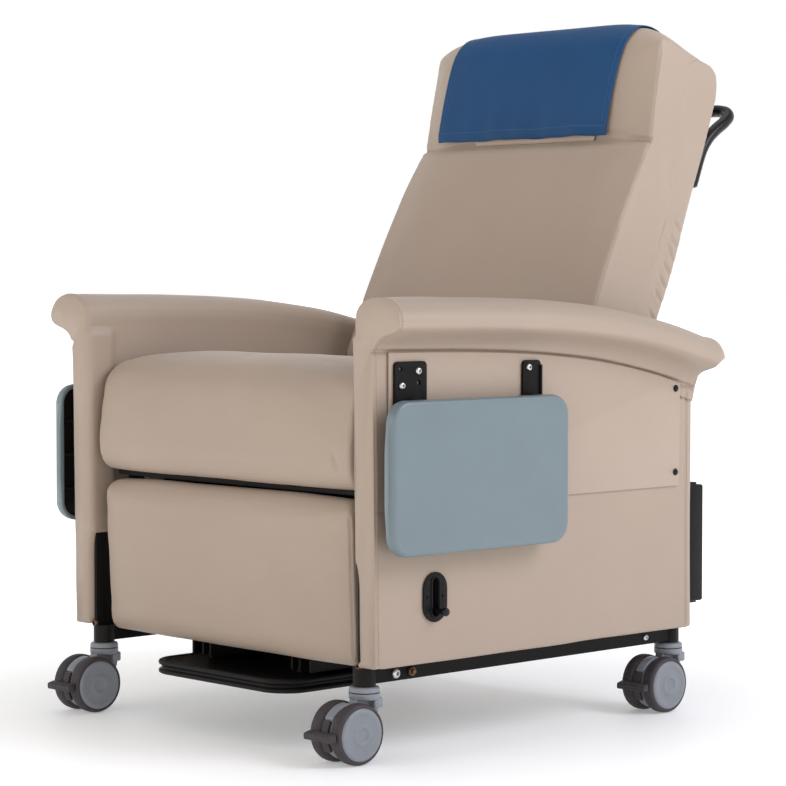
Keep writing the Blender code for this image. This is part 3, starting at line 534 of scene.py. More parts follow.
# ---------------------------------------------------------------- upholstery tools
def pad_rings(middle, end, half, place, edge, count=150, across=44, power=3.5):
    """Rings of a crowned pad from side to side; half gives its half width at an outline point."""
    middle, end = np.array(middle), np.array(end)
    turns = (0.0, 22.5, 45.0, 67.5)
    rows = [(-1.0, turn) for turn in turns]
    rows += [(share, 90.0) for share in np.linspace(-1.0, 1.0, across)]
    rows += [(1.0, turn) for turn in reversed(turns)]
    rings = []
    for share, turn in rows:
        inset = edge * (1.0 - math.sin(math.radians(turn)))
        back = edge * (1.0 - math.cos(math.radians(turn)))
        ring = curve_through(middle + (end - middle) * abs(share) ** power, count, closed=True)
        ring = ring - outward(ring) * inset
        rings.append([place(share * (half(a, b) - back), a, b) for a, b in ring])
    return rings


def swell(obj):
    """Blows up a coarser copy of the cover with cloth and gives the cover its capped movement."""
    coarse = add_object(obj.name + "_cloth", obj.data.copy())
    remesh(coarse, CLOTH_VOXEL)
    settle(coarse)
    cloth = coarse.modifiers.new("stuffing", "CLOTH")
    cloth.settings.use_pressure = True
    cloth.settings.uniform_pressure_force = CLOTH_PRESSURE
    cloth.settings.effector_weights.gravity = 0.0
    cloth.point_cache.frame_start, cloth.point_cache.frame_end = 1, CLOTH_FRAMES
    small, normals = points_of(coarse.data), normals_of(coarse.data)
    for frame_number in range(1, CLOTH_FRAMES + 1):
        bpy.context.scene.frame_set(frame_number)
    shown = evaluated(coarse)
    move = points_of(shown.to_mesh()) - small
    shown.to_mesh_clear()
    bpy.data.objects.remove(coarse, do_unlink=True)
    bpy.context.scene.frame_set(1)
    far = np.linalg.norm(move, axis=1)
    limit = np.where((move * normals).sum(axis=1) > 0.0, SWELL_CAP, PULL_CAP)
    move *= np.minimum(1.0, limit / np.maximum(far, 1e-9))[:, None]
    tree = KDTree(len(small))
    for index, point in enumerate(small):
        tree.insert(point, index)
    tree.balance()
    points = points_of(obj.data)
    for index, point in enumerate(points):       # it follows the six nearest, the closest most
        around = tree.find_n(point, 6)
        share = np.array([1.0 / (distance + 0.002) for _, _, distance in around])
        points[index] += share @ move[[step for _, step, _ in around]] / share.sum()
    move_to(obj.data, points)


def soft_body(name, rings, voxel=0.006):
    """A stuffed vinyl cover: remeshed evenly, swollen by cloth, then subdivided."""
    obj = mesh_piece(name, *skin(rings), BEIGE_VINYL)
    remesh(obj, voxel)
    soften = obj.modifiers.new("soften", "SMOOTH")
    soften.iterations = 3
    settle(obj)
    move_to(obj.data, points_of(obj.data) - normals_of(obj.data) * SWELL)
    swell(obj)
    subdivide(obj)
    obj.data.shade_smooth()
    return obj


def near(mesh_points, path, reach):
    """For the points within reach of a path: indices, distances and shares of the way along."""
    path = np.array([tuple(point) for point in path], float)
    low, high = path.min(0) - reach, path.max(0) + reach
    inside = np.nonzero(((mesh_points >= low) & (mesh_points <= high)).all(1))[0]
    tree = KDTree(len(path))
    for index, point in enumerate(path):
        tree.insert(point, index)
    tree.balance()
    found = []
    for index in inside:
        _, step, distance = tree.find(mesh_points[index])
        if distance < reach:
            found.append((index, distance, step / (len(path) - 1)))
    if not found:
        return np.zeros(0, int), np.zeros(0), np.zeros(0)
    found = np.array(found)
    return found[:, 0].astype(int), found[:, 1], found[:, 2]


def crease(obj, route, width, depth, lip=0.0, fade=False):
    """Presses a groove of a half width into the cover along a route, with a raised lip by it."""
    path = curve_through(route, 260)
    points, normals = points_of(obj.data), normals_of(obj.data)
    which, distance, share = near(points, path, width * 4)
    push = -depth * np.exp(-(distance / width) ** 2)
    push += lip * np.exp(-((distance - 2.2 * width) / width) ** 2)
    if fade:
        push *= np.sin(np.pi * share) ** 0.7
    points[which] += normals[which] * push[:, None]
    move_to(obj.data, points)


def ripple(obj, strength, scale, seed):
    """Uneven stuffing: a slow rise and fall of the surface."""
    points, normals = points_of(obj.data), normals_of(obj.data)
    shift = Vector((seed * 3.7, seed * 1.9, seed * 2.3))
    lift = np.array([noise.noise(Vector(point) * scale + shift) for point in points])
    move_to(obj.data, points + normals * (lift * strength)[:, None])


def stitches(name, target, route, thread, slot, body, pitch=0.0050, length=0.0036, radius=0.00055,
             lift=0.0002):
    """A row of short stitches lying on the cover along a route, as one piece."""
    tree = BVHTree.FromObject(target, bpy.context.evaluated_depsgraph_get())
    given = curve_through(route, 200)
    total = float(np.linalg.norm(np.diff(given, axis=0), axis=1).sum())
    path = curve_through(route, max(3, int(total / pitch)))
    shapes = []
    for index in range(1, len(path) - 1):
        spot, normal, _, _ = tree.find_nearest(path[index])
        along = Vector(path[index + 1] - path[index - 1])
        along = (along - normal * along.dot(normal)).normalized()
        side = normal.cross(along)
        rings = []
        for step, share in ((-0.5, 0.35), (-0.32, 0.95), (0.0, 1.1), (0.32, 0.95), (0.5, 0.35)):
            middle = spot + along * step * length + normal * (lift + radius * (share - 0.9))
            thick = radius * share
            rings.append([middle + thick * (math.cos(angle) * side + math.sin(angle) * normal)
                          for angle in angles_round(6)])
        shapes.append(skin(rings))
    return add_piece(name, shapes, thread, slot, body=body)


# ---------------------------------------------------------------- seat
def seat_pad():
    middle = [(-0.266, 0.436), (-0.299, 0.439), (-0.317, 0.468), (-0.321, 0.520), (-0.319, 0.562),
              (-0.308, 0.606), (-0.282, 0.636), (-0.240, 0.647), (-0.150, 0.646), (-0.080, 0.641),
              (0.110, 0.621), (0.200, 0.610), (0.230, 0.594), (0.236, 0.556), (0.227, 0.443),
              (0.0, 0.442)]
    end = [(-0.266, 0.436), (-0.291, 0.437), (-0.307, 0.450), (-0.316, 0.488), (-0.312, 0.528),
           (-0.307, 0.562), (-0.294, 0.608), (-0.268, 0.628), (-0.220, 0.636), (-0.080, 0.631),
           (0.110, 0.612), (0.200, 0.602), (0.229, 0.588), (0.233, 0.553), (0.225, 0.443),
           (0.0, 0.442)]
    rings = pad_rings(middle, end, lambda y, z: SEAT_HALF + 0.006, at, 0.011)
    pad = soft_body("seat_pad", rings)
    edge = [(-0.283, 0.439), (-0.307, 0.450), (-0.316, 0.488), (-0.312, 0.528), (-0.307, 0.562),
            (-0.294, 0.608), (-0.268, 0.628), (-0.220, 0.636), (-0.080, 0.631), (0.110, 0.612),
            (0.200, 0.602), (0.226, 0.588)]
    dice = random.Random(11)
    for _, side in SIDES:
        seam = [at(side * (SEAT_HALF + 0.001), y, z) for y, z in edge]
        crease(pad, seam, 0.0022, 0.0014, lip=0.0005)
        for _ in range(6):                       # gathers in the lower front corners
            x, y = side * (SEAT_HALF - dice.uniform(0.006, 0.030)), -0.300
            drift = side * dice.uniform(0.004, 0.018)
            gather = [at(x, y + 0.004, 0.450), at(x - drift, y - 0.010, 0.470),
                      at(x - 2.0 * drift, y - 0.016, dice.uniform(0.485, 0.510))]
            crease(pad, gather, 0.0028, 0.0013, fade=True)
    ripple(pad, 0.0016, 7.0, 1)
    points = points_of(pad.data)
    on_deck = np.clip((points[:, 1] - DATUM_Y + 0.284) / 0.010, 0.0, 1.0)
    points[:, 2] = np.maximum(points[:, 2], SEAT_BOTTOM - 0.010 + 0.0104 * on_deck)
    move_to(pad.data, points)
    stand_in(pad, "beige_vinyl", "seat_cushion")


# ---------------------------------------------------------------- back
PILLOW_SEAM = 0.4945            # the height, up the back, of the seam under the pillow
BACK_SEAM = [(-0.134, 0.030), (-0.142, 0.080), (-0.142, 0.137), (-0.139, 0.220), (-0.133, 0.310),
             (-0.124, 0.387), (-0.112, 0.462), (-0.1055, 0.495), (-0.1075, 0.510), (-0.117, 0.550),
             (-0.126, 0.598), (-0.135, 0.649), (-0.139, 0.672)]


def back_half(_, v):
    """Half width of the back, which narrows a little upwards and is the same at every depth."""
    return float(np.interp(v, (0.0, 0.137, 0.387, 0.470, 0.510, 0.700),
                           (0.308, 0.310, 0.305, 0.300, 0.297, 0.293)))


def back_upholstery():
    rear = -0.0108
    middle = [(rear, 0.012), (-0.110, 0.012), (-0.140, 0.030), (-0.150, 0.110), (-0.148, 0.200),
              (-0.143, 0.300), (-0.136, 0.387), (-0.128, 0.450), (-0.120, 0.483), (-0.102, 0.4945),
              (-0.121, 0.506), (-0.132, 0.535), (-0.144, 0.570), (-0.153, 0.605), (-0.160, 0.645),
              (-0.158, 0.683), (-0.144, 0.712), (-0.118, 0.725), (-0.060, 0.719), (rear, 0.707),
              (rear, 0.350)]
    end = [(rear, 0.012), (-0.105, 0.012), (-0.134, 0.030), (-0.142, 0.110), (-0.141, 0.200),
           (-0.134, 0.300), (-0.124, 0.387), (-0.114, 0.450), (-0.108, 0.483), (-0.103, 0.4945),
           (-0.107, 0.506), (-0.1135, 0.535), (-0.121, 0.570), (-0.1275, 0.605), (-0.1345, 0.645),
           (-0.1395, 0.672), (-0.135, 0.688), (-0.118, 0.692), (-0.060, 0.692), (rear, 0.692),
           (rear, 0.350)]
    rings = pad_rings(middle, end, back_half, on_back, 0.007, count=190, power=6.0)
    pad = soft_body("back_upholstery", rings)
    dice = random.Random(5)
    for _, side in SIDES:
        seam = [on_back(side * (back_half(w, v) - 0.002), w, v) for w, v in BACK_SEAM]
        crease(pad, seam, 0.0022, 0.0016, lip=0.0006)
        top = [on_back(side * (back_half(0, 0.69) - 0.003), w, 0.6905)
               for w in (-0.128, -0.100, -0.060, -0.016)]
        crease(pad, top, 0.0022, 0.0012, lip=0.0004)
        for step in range(13):                   # gathers where the side meets the rear shell
            v = 0.06 + 0.033 * step + dice.uniform(-0.010, 0.010)
            reach, fall = dice.uniform(0.018, 0.045), dice.uniform(-0.020, 0.026)
            x = side * (back_half(0, v) + 0.001)
            gather = [on_back(x, -0.014, v), on_back(x, -0.014 - reach / 2, v + fall / 2),
                      on_back(x, -0.014 - reach, v + fall)]
            crease(pad, gather, 0.0036, 0.0015, fade=True)
    reach = back_half(0, PILLOW_SEAM)
    across = [on_back(reach * share, -0.104, PILLOW_SEAM)
              for share in np.linspace(-0.985, 0.985, 21)]
    crease(pad, across, 0.0045, 0.0055, lip=0.0012)
    ripple(pad, 0.0015, 6.0, 2)
    for label, side in SIDES:
        route = [on_back(side * (back_half(w, v) + 0.001), w + 0.004, v) for w, v in BACK_SEAM[1:]]
        stitches("back_stitches_" + label, pad, route, BEIGE_THREAD, "beige_vinyl", "back",
                 lift=0.0)
    stand_in(pad, "beige_vinyl", "back_cushion", "head_pillow")
    return pad


def shell_half(w, v):
    """Half width of the rear shell, which is a little wider than the pad at its rear."""
    return max(back_half(w, v), float(np.interp(w, (-0.010, 0.020), (0.296, 0.302))))


def back_shell():
    """Vinyl cover over the rear of the back, bulging a little between its edges."""
    front = -0.0190
    middle = [(front, 0.016), (0.010, 0.014), (0.030, 0.022), (0.036, 0.110), (0.045, 0.260),
              (0.049, 0.420), (0.050, 0.520), (0.047, 0.600), (0.041, 0.648), (0.028, 0.682),
              (0.008, 0.697), (front, 0.699), (front, 0.350)]
    end = [(front, 0.016), (0.008, 0.014), (0.019, 0.022), (0.024, 0.110), (0.036, 0.260),
           (0.039, 0.420), (0.0405, 0.520), (0.038, 0.600), (0.034, 0.645), (0.023, 0.675),
           (0.009, 0.690), (front, 0.692), (front, 0.350)]
    rings = pad_rings(middle, end, shell_half, on_back, 0.005, count=170)
    cover = soft_body("back_shell_cover", rings, voxel=0.005)
    heights = np.linspace(0.03, 0.63, 13)
    depths = np.interp(heights, (0.02, 0.11, 0.26, 0.52, 0.63),
                       (0.019, 0.024, 0.036, 0.0405, 0.035))
    corner = list(zip(heights, depths))
    for label, side in SIDES:
        route = [on_back(side * (shell_half(w, v) - 0.004), w, v) for v, w in corner]
        crease(cover, route, 0.0022, 0.0013, lip=0.0005)
        stitched = [on_back(side * (shell_half(w, v) - 0.014), w + 0.003, v) for v, w in corner]
        stitches("back_shell_stitches_" + label, cover, stitched, BEIGE_THREAD, "beige_vinyl",
                 "back")
    dice = random.Random(8)
    for _, side in SIDES:
        for step in range(9):                    # short folds at the rear corner, low down
            v, fall = 0.130 + 0.030 * step + dice.uniform(-0.006, 0.006), dice.uniform(0.014, 0.034)
            rear = float(np.interp(v, (0.11, 0.26, 0.52), (0.024, 0.036, 0.0405)))
            x = side * (shell_half(rear, v) - 0.001)
            fold = [on_back(x, rear - 0.003, v), on_back(x, rear - 0.020, v + fall / 2),
                    on_back(x, rear - 0.036, v + fall)]
            crease(cover, fold, 0.0038, 0.0030, lip=0.0008, fade=True)
    ripple(cover, 0.0015, 6.0, 2)
    stand_in(cover, "beige_vinyl", "back_shell")
    return cover


# ---------------------------------------------------------------- head cover
def fan(centre, reach, angles):
    """Rays that start on an arc and aim at its centre: (w, v) starts and directions."""
    rays = []
    for angle in np.radians(angles):
        dw, dv = math.cos(angle), math.sin(angle)
        rays.append(((centre[0] + reach * dw, centre[1] + reach * dv), (-dw, -dv)))
    return rays


def drape(trees, offset, hem_v, columns):
    """Rows of points just off the pillow, from the front hem over the crown and down the back."""
    aims = [((-0.30, v), (1.0, 0.0)) for v in np.linspace(hem_v, 0.650, 30)]
    aims += fan((-0.085, 0.655), 0.25, np.linspace(176, 84, 22))
    aims += [((w, 0.90), (0.0, -1.0)) for w in np.linspace(-0.055, 0.004, 10)]
    aims += fan((0.012, 0.665), 0.15, np.linspace(88, 6, 14))
    aims += [((0.20, v), (-1.0, 0.0)) for v in np.linspace(0.658, 0.602, 8)]
    grid = np.zeros((len(aims), len(columns[0]), 3))
    for row, ((w, v), (dw, dv)) in enumerate(aims):
        for column in range(grid.shape[1]):
            blend = min(1.0, row / 46.0)
            x = columns[0][column] * (1.0 - blend) + columns[1][column] * blend
            start = on_back(x, w, v)
            aim = (on_back(x, w + dw, v + dv) - start).normalized()
            hits = [tree.ray_cast(start, aim) for tree in trees]
            spot = min((hit for hit in hits if hit[0]), key=lambda hit: hit[3])[0]
            grid[row, column] = spot - aim * offset
    for _ in range(6):                           # cloth bridges the small hollows
        inner = grid.copy()
        inner[1:-1] = (grid[:-2] + 2 * grid[1:-1] + grid[2:]) / 4
        inner[:, 1:-1] = (inner[:, :-2] + 2 * inner[:, 1:-1] + inner[:, 2:]) / 4
        grid = inner
    return grid


def cloth_shell(grid, thickness):
    """A closed sheet built outwards from a grid of points, and its outer grid."""
    down, right = np.gradient(grid, axis=0), np.gradient(grid, axis=1)
    normal = np.cross(down, right)
    normal /= np.linalg.norm(normal, axis=2, keepdims=True)
    out = on_back(0, -1, 0.6) - on_back(0, 0, 0.6)
    if normal[2, grid.shape[1] // 2] @ np.array(out) < 0:
        normal = -normal
    thick = np.asarray(thickness)
    thick = np.broadcast_to(thick if thick.ndim else thick[None, None], grid.shape[:2])
    outer = grid + normal * thick[..., None]
    rows, columns = grid.shape[:2]
    count = rows * columns
    verts = list(grid.reshape(-1, 3)) + list(outer.reshape(-1, 3))
    faces = []
    for row in range(rows - 1):
        for column in range(columns - 1):
            a = row * columns + column
            faces.append((a, a + 1, a + columns + 1, a + columns))
            faces.append((count + a, count + a + columns, count + a + columns + 1, count + a + 1))
    rim = list(range(columns)) + [row * columns + columns - 1 for row in range(1, rows)]
    rim += [(rows - 1) * columns + column for column in range(columns - 2, -1, -1)]
    rim += [row * columns for row in range(rows - 2, 0, -1)]
    for here, there in zip(rim, rim[1:] + rim[:1]):
        faces.append((here, there, count + there, count + here))
    return (verts, faces), outer


def head_cover(pad, shell):
    """Blue hemmed and stitched vinyl over the pillow, and the plain flap under its front edge."""
    depsgraph = bpy.context.evaluated_depsgraph_get()
    trees = [BVHTree.FromObject(pad, depsgraph), BVHTree.FromObject(shell, depsgraph)]
    columns = 76
    crest = np.linspace(-0.214, 0.236, columns)
    hem = np.linspace(-0.236, 0.206, columns)
    grid = drape(trees, 0.0030, 0.4985, (hem, crest))
    rows = grid.shape[0]
    lean_out = np.array(on_back(0, -1, 0) - on_back(0, 0, 0))
    for row in range(rows):
        loose = max(0.0, 1.0 - row / 26.0)       # the hem stands off the pillow, in soft folds
        for column in range(columns):
            share = column / (columns - 1)
            fold = 0.0022 * math.sin(2 * math.pi * (2.6 * share + 0.15))
            fold += 0.0012 * math.sin(2 * math.pi * 6.3 * share)
            drift = 0.0005 * math.sin(9 * share + row / 7)
            grid[row, column] += lean_out * (loose ** 1.6 * (0.0065 + fold) + drift)
    thickness = np.full((rows, columns), 0.0017)
    for hem_edge in (np.s_[:4], np.s_[-4:], np.s_[:, :2], np.s_[:, -2:]):
        thickness[hem_edge] += 0.0011            # the turned hem
    shape, outer = cloth_shell(grid, thickness)
    cover = mesh_piece("head_cover_cloth", *shape, BLUE_VINYL)
    subdivide(cover)
    stand_in(cover, "blue_vinyl", "head_cover")
    hem_rows = [outer[3], outer[-4]]
    hem_sides = [outer[4:-4, 2], outer[4:-4, -3]]
    for index, route in enumerate(hem_rows + hem_sides):
        stitches("head_cover_stitches_" + str(index), cover, route[::2],
                                  BLUE_THREAD, "blue_vinyl", "back", pitch=0.0046)

    edge = np.linspace(-0.138, 0.171, 50)
    under = drape(trees, 0.0008, 0.4915, (edge, edge))[:20]
    flap = add_piece("head_cover_flap", [cloth_shell(under, 0.0012)[0]], BEIGE_VINYL, "beige_vinyl",
                     body="back")


# ---------------------------------------------------------------- arms
ROLL = [(0.3572, -0.036), (0.3600, -0.022), (0.3680, -0.012), (0.3800, -0.006), (0.3950, -0.002),
        (0.4120, -0.0005), (0.4290, -0.002), (0.4430, -0.007), (0.4555, -0.016), (0.4640, -0.027),
        (0.4672, -0.038), (0.4650, -0.0485), (0.4560, -0.0555), (0.4420, -0.0600),
        (0.4280, -0.0645), (0.4160, -0.0710), (0.4085, -0.0785), (0.4055, -0.0838),
        (0.4010, -0.0852), (0.3985, -0.0868), (0.3990, -0.0886), (0.4015, -0.0902),
        (0.4025, -0.0925), (0.4030, -0.1120)]
ROLL_TOP, ROLL_LOW = -0.060, -0.112         # where the inner and outer runs meet the roll
POST_TOP, POST_ROUND = 0.306, 0.042         # the front post is bare below this rounded edge
BOARD_FALL = 0.006              # the board's top edge drops this much more than the crest does
STRIP_SEAMS = (0.408, 0.447, 0.590)
FRONT_SEAM = 0.0022
REAR_SEAM = 0.4375              # y of the seam up the side, near the rear edge
ARM_FRONT, ARM_RUN = -0.320, 0.765          # the crest falls more and more along this run
RAKE_HEIGHT = 0.6               # the front edge leans by PANEL_RAKE over this height
ROLL_AXIS, AXIS_DROP = 0.411, 0.022         # the roll's end closes towards this line
NECK_X, NECK_DROP = 0.392, 0.104            # where the panel's outline gathers behind its rear edge
BOARD_DROP = 0.0890             # from the crest down to the inset board's top edge
POST_INNER = 0.3502             # the cover's inner face beside the front post
INNER_X, INNER_FADE = 0.392, 0.026          # the front edge is softest inside this line
SEAM_STEPS = (-0.005, -0.0025, -0.001, 0.001, 0.0025, 0.005)


def arm_share(y):
    """How far along the arm a point is, from 0 at the front."""
    return max(0.0, (y - ARM_FRONT) / ARM_RUN)


def arm_crest(y):
    """Height of the arm's top."""
    return ARM_CREST - 0.070 * arm_share(y) ** 3.2


def rake(z):
    """How far the panel's front edge leans forward at a height."""
    return PANEL_RAKE * (z - PANEL_BOTTOM) / RAKE_HEIGHT


def run_levels():
    """Heights of the panel's points, closer together near the strips' small seams."""
    levels = set(np.round(np.arange(PANEL_BOTTOM + 0.010, 0.640, 0.010), 4))
    levels |= set(np.round(np.arange(POST_TOP - POST_ROUND, POST_TOP + 0.004, 0.0042), 4))
    for seam in STRIP_SEAMS:
        levels = {z for z in levels if abs(z - seam) > 0.006}
        levels |= {round(seam + step, 4) for step in SEAM_STEPS}
    return sorted(levels)


def arm_outline(y, levels):
    """One turn round the arm at y: inner run upwards, over the roll, then the outer run down."""
    crest = arm_crest(y)
    low, high = PANEL_BOTTOM, ARM_CREST + ROLL_LOW

    def level(z, top):
        return low + (z - low) * (crest + top - low) / (high - low)

    front = clamp((-0.258 - y) / 0.006)
    inner = []
    for z in levels:                             # the front wraps in over the frame's upright
        x = PANEL_IN + (ARM_IN - PANEL_IN) * (z - low) / (high - low)
        rise = clamp((z - POST_TOP + POST_ROUND) / POST_ROUND)
        wrap = front * (1.0 - math.sqrt(1.0 - rise ** 2))
        inner.append((x + (POST_INNER - x) * wrap, level(z, ROLL_TOP)))
    fall = BOARD_FALL * arm_share(y)
    roll = [(x, crest + drop - fall * clamp((-0.066 - drop) / 0.018))
            for x, drop in curve_through([(ARM_IN, ROLL_TOP)] + ROLL, 100)]
    outer = [(PANEL_OUT, level(z, ROLL_LOW)) for z in reversed(levels)]
    foot = [(PANEL_OUT, low + 0.005), (PANEL_OUT - 0.0015, low + 0.0015), (PANEL_OUT - 0.005, low),
            (PANEL_IN + 0.005, low), (PANEL_IN + 0.0015, low + 0.0015), (PANEL_IN, low + 0.005)]
    return np.array(inner + roll + outer + foot), len(inner), len(inner) + len(roll)


def arm_cover(label, side):
    """Vinyl over the panel and its scrolled roll, with the blunt tail behind the panel."""
    levels = run_levels()
    ring, roll_start, roll_end = arm_outline(0.0, levels)
    on_roll = np.zeros(len(ring), bool)
    on_roll[roll_start:roll_end] = True
    inner_share = np.clip((INNER_X - ring[:, 0]) / INNER_FADE, 0.0, 1.0)
    foot = ring[:, 1] < PANEL_BOTTOM + 0.006

    front = [(0.0, 0.0085, 0.0020), (0.0008, 0.0066, 0.0008), (FRONT_SEAM, 0.0044, 0.0011),
             (0.0040, 0.0028, 0.0001), (0.0060, 0.0014, 0.0), (0.0085, 0.0006, 0.0),
             (0.0115, 0.0, 0.0)]
    rings = []
    for depth, soft, crisp in front:
        flat, _, _ = arm_outline(PANEL_FRONT + depth, levels)
        inset = np.where(foot, 0.001, soft * inner_share + crisp * (1.0 - inner_share))
        flat = flat - outward(flat) * inset[:, None]
        leans = rake(flat[:, 1])
        rings.append([at(side * x, PANEL_FRONT + depth - lean, z)
                      for (x, z), lean in zip(flat, leans)])
    stations = list(np.arange(PANEL_FRONT + 0.019, PANEL_REAR - 0.004, 0.0075))
    stations = [y for y in stations if abs(y - REAR_SEAM) > 0.006]
    stations += [REAR_SEAM + step for step in (-0.0045, -0.002, 0.0, 0.002, 0.0045)]
    for y in sorted(stations):
        flat, _, _ = arm_outline(y, levels)
        leans = rake(flat[:, 1]) * max(0.0, (-0.20 - y) / 0.115)
        rings.append([at(side * x, y - lean, z) for (x, z), lean in zip(flat, leans)])
    for depth, inset in ((0.004, 0.0006), (0.0018, 0.0018), (0.0, 0.0042)):
        flat, _, _ = arm_outline(PANEL_REAR - depth, levels)
        flat = flat - outward(flat) * np.where(on_roll, 0.0, inset)[:, None]
        rings.append([at(side * x, PANEL_REAR - depth, z) for x, z in flat])
    for run in np.concatenate([[0.0], np.sin(np.linspace(0.06, 1.0, 18) * math.pi / 2)]):
        y = PANEL_REAR + run * (ARM_TIP - 0.001 - PANEL_REAR)
        flat, _, _ = arm_outline(y, levels)
        crest = arm_crest(y)
        flat[~on_roll] = (NECK_X, crest - NECK_DROP)  # the panel ends and the roll goes on
        depth = crest - flat[:, 1]               # a hollow neck turns under the roll's blunt end
        under = np.maximum(0.0, depth - 0.037)
        drop = depth - under + under * max(0.0, 1.0 - run / 0.75) ** 1.6
        tall = max(0.35, (1.0 - run ** 5) ** 0.45)
        wide = max(0.12, (1.0 - run ** 2) ** 0.5 * (1.0 - 0.05 * run))
        flat[:, 0] = ROLL_AXIS + (flat[:, 0] - ROLL_AXIS) * wide
        flat[:, 1] = crest - AXIS_DROP - (drop - AXIS_DROP) * tall + 0.010 * run
        rings.append([at(side * x, y, z) for x, z in flat])
    cover = mesh_piece("arm_cover_" + label, *skin(rings), BEIGE_VINYL)

    outer = [(x, arm_crest(PANEL_FRONT) + drop) for x, drop in curve_through(ROLL[4:], 30)]
    outer += [(PANEL_OUT, z) for z in np.linspace(0.60, PANEL_BOTTOM + 0.004, 24)]
    seam = [at(side * x, PANEL_FRONT + FRONT_SEAM - rake(z), z) for x, z in outer]
    crease(cover, seam, 0.0016, 0.0007, lip=0.0003)
    crown = arm_crest(PANEL_FRONT)
    pleat = [at(side * 0.396, PANEL_FRONT + 0.006, crown),
             at(side * 0.394, PANEL_FRONT + 0.028, crown)]
    crease(cover, pleat, 0.0035, 0.0022, fade=True)
    skin_x = side * PANEL_OUT
    for y0, y1, z in ((-0.318, -0.292, 0.408), (0.419, 0.455, 0.590), (0.419, 0.455, 0.447)):
        crease(cover, [at(skin_x, y, z) for y in (y0, (y0 + y1) / 2, y1)], 0.0016, 0.0012)
    down = [at(skin_x, REAR_SEAM, z)
            for z in np.linspace(PANEL_BOTTOM + 0.004, arm_crest(REAR_SEAM) - 0.105, 30)]
    crease(cover, down, 0.0018, 0.0014, lip=0.0004)
    dice = random.Random(21 if side > 0 else 22)
    for step in range(4):                        # pleats under the scroll
        y = PANEL_FRONT - 0.004 + 0.009 * step
        z = crown - 0.080
        pleat = [at(side * 0.4085, y, z + 0.006), at(side * 0.4040, y + 0.002, z - 0.008),
                 at(side * 0.4030, y + 0.005, z - 0.018 - 0.004 * step)]
        crease(cover, pleat, 0.0026, 0.0014, fade=True)
    for step in range(5):                        # gathers under the rear end of the roll
        y = PANEL_REAR - 0.030 + 0.010 * step
        z = arm_crest(y) - 0.082
        gather = [at(side * 0.412, y, z + 0.012), at(side * 0.405, y + 0.002, z),
                  at(side * 0.403, y + dice.uniform(-0.006, 0.006), z - 0.022)]
        crease(cover, gather, 0.0035, 0.0016, fade=True)
    ripple(cover, 0.0011, 9.0, 4 if side > 0 else 5)
    if side > 0:
        cutter = slab([stadium((LEVER_Y, LEVER_Z), 0.009, 0.034)], 0.09, "YZ",
                      at(side * 0.381, 0, 0))
        hole = mesh_piece("slot_cutter", *cutter, BEIGE_VINYL)
        opening = cover.modifiers.new("slot", "BOOLEAN")
        opening.operation, opening.solver, opening.object = "DIFFERENCE", "EXACT", hole
        settle(cover)
        bpy.data.objects.remove(hole, do_unlink=True)
    stand_in(cover, "beige_vinyl", "arm_roll_" + label, "side_panel_" + label)
    front_row = [at(side * (x - 0.0005), PANEL_FRONT + 0.0062 - rake(z), z) for x, z in outer]
    rear_row = [point + Vector((0.0, 0.005, 0.0)) for point in down]
    for place, route in (("front", front_row), ("rear", rear_row)):
        stitches("arm_stitches_" + place + "_" + label, cover, route, BEIGE_THREAD, "beige_vinyl",
                 "base")


def inset_board(label, side):
    """Covered board that closes the outside of the arm, and its two black push rivets."""
    front, rear, bottom, _ = side_extent("inset_panel_" + label)
    top = [(y, arm_crest(y) - BOARD_DROP - BOARD_FALL * arm_share(y))
           for y in np.linspace(rear, front, 40)]
    outline = [(front + 0.002, bottom), (rear - 0.002, bottom)] + top
    middle = side * (PANEL_OUT + 0.0026)
    board = slab([outline], 0.0042, "YZ", at(middle, 0, 0), bevel=0.0016)
    add_piece("inset_board_" + label, [board], BEIGE_VINYL, "beige_vinyl", "inset_panel_" + label,
              sharp=60)
    face = side * (PANEL_OUT + 0.0046)
    dome = [(-0.0006, 0.0052), (0.0008, 0.0062), (0.0020, 0.0056), (0.0027, 0.0040),
            (0.0030, 0.0018)]
    rivets = [turned(dome, at(face, 0.406, z), (side, 0, 0), 28) for z in (0.436, 0.585)]
    add_piece("push_rivets_" + label, rivets, BLACK_PLASTIC, "black_plastic", body="base", sharp=50)


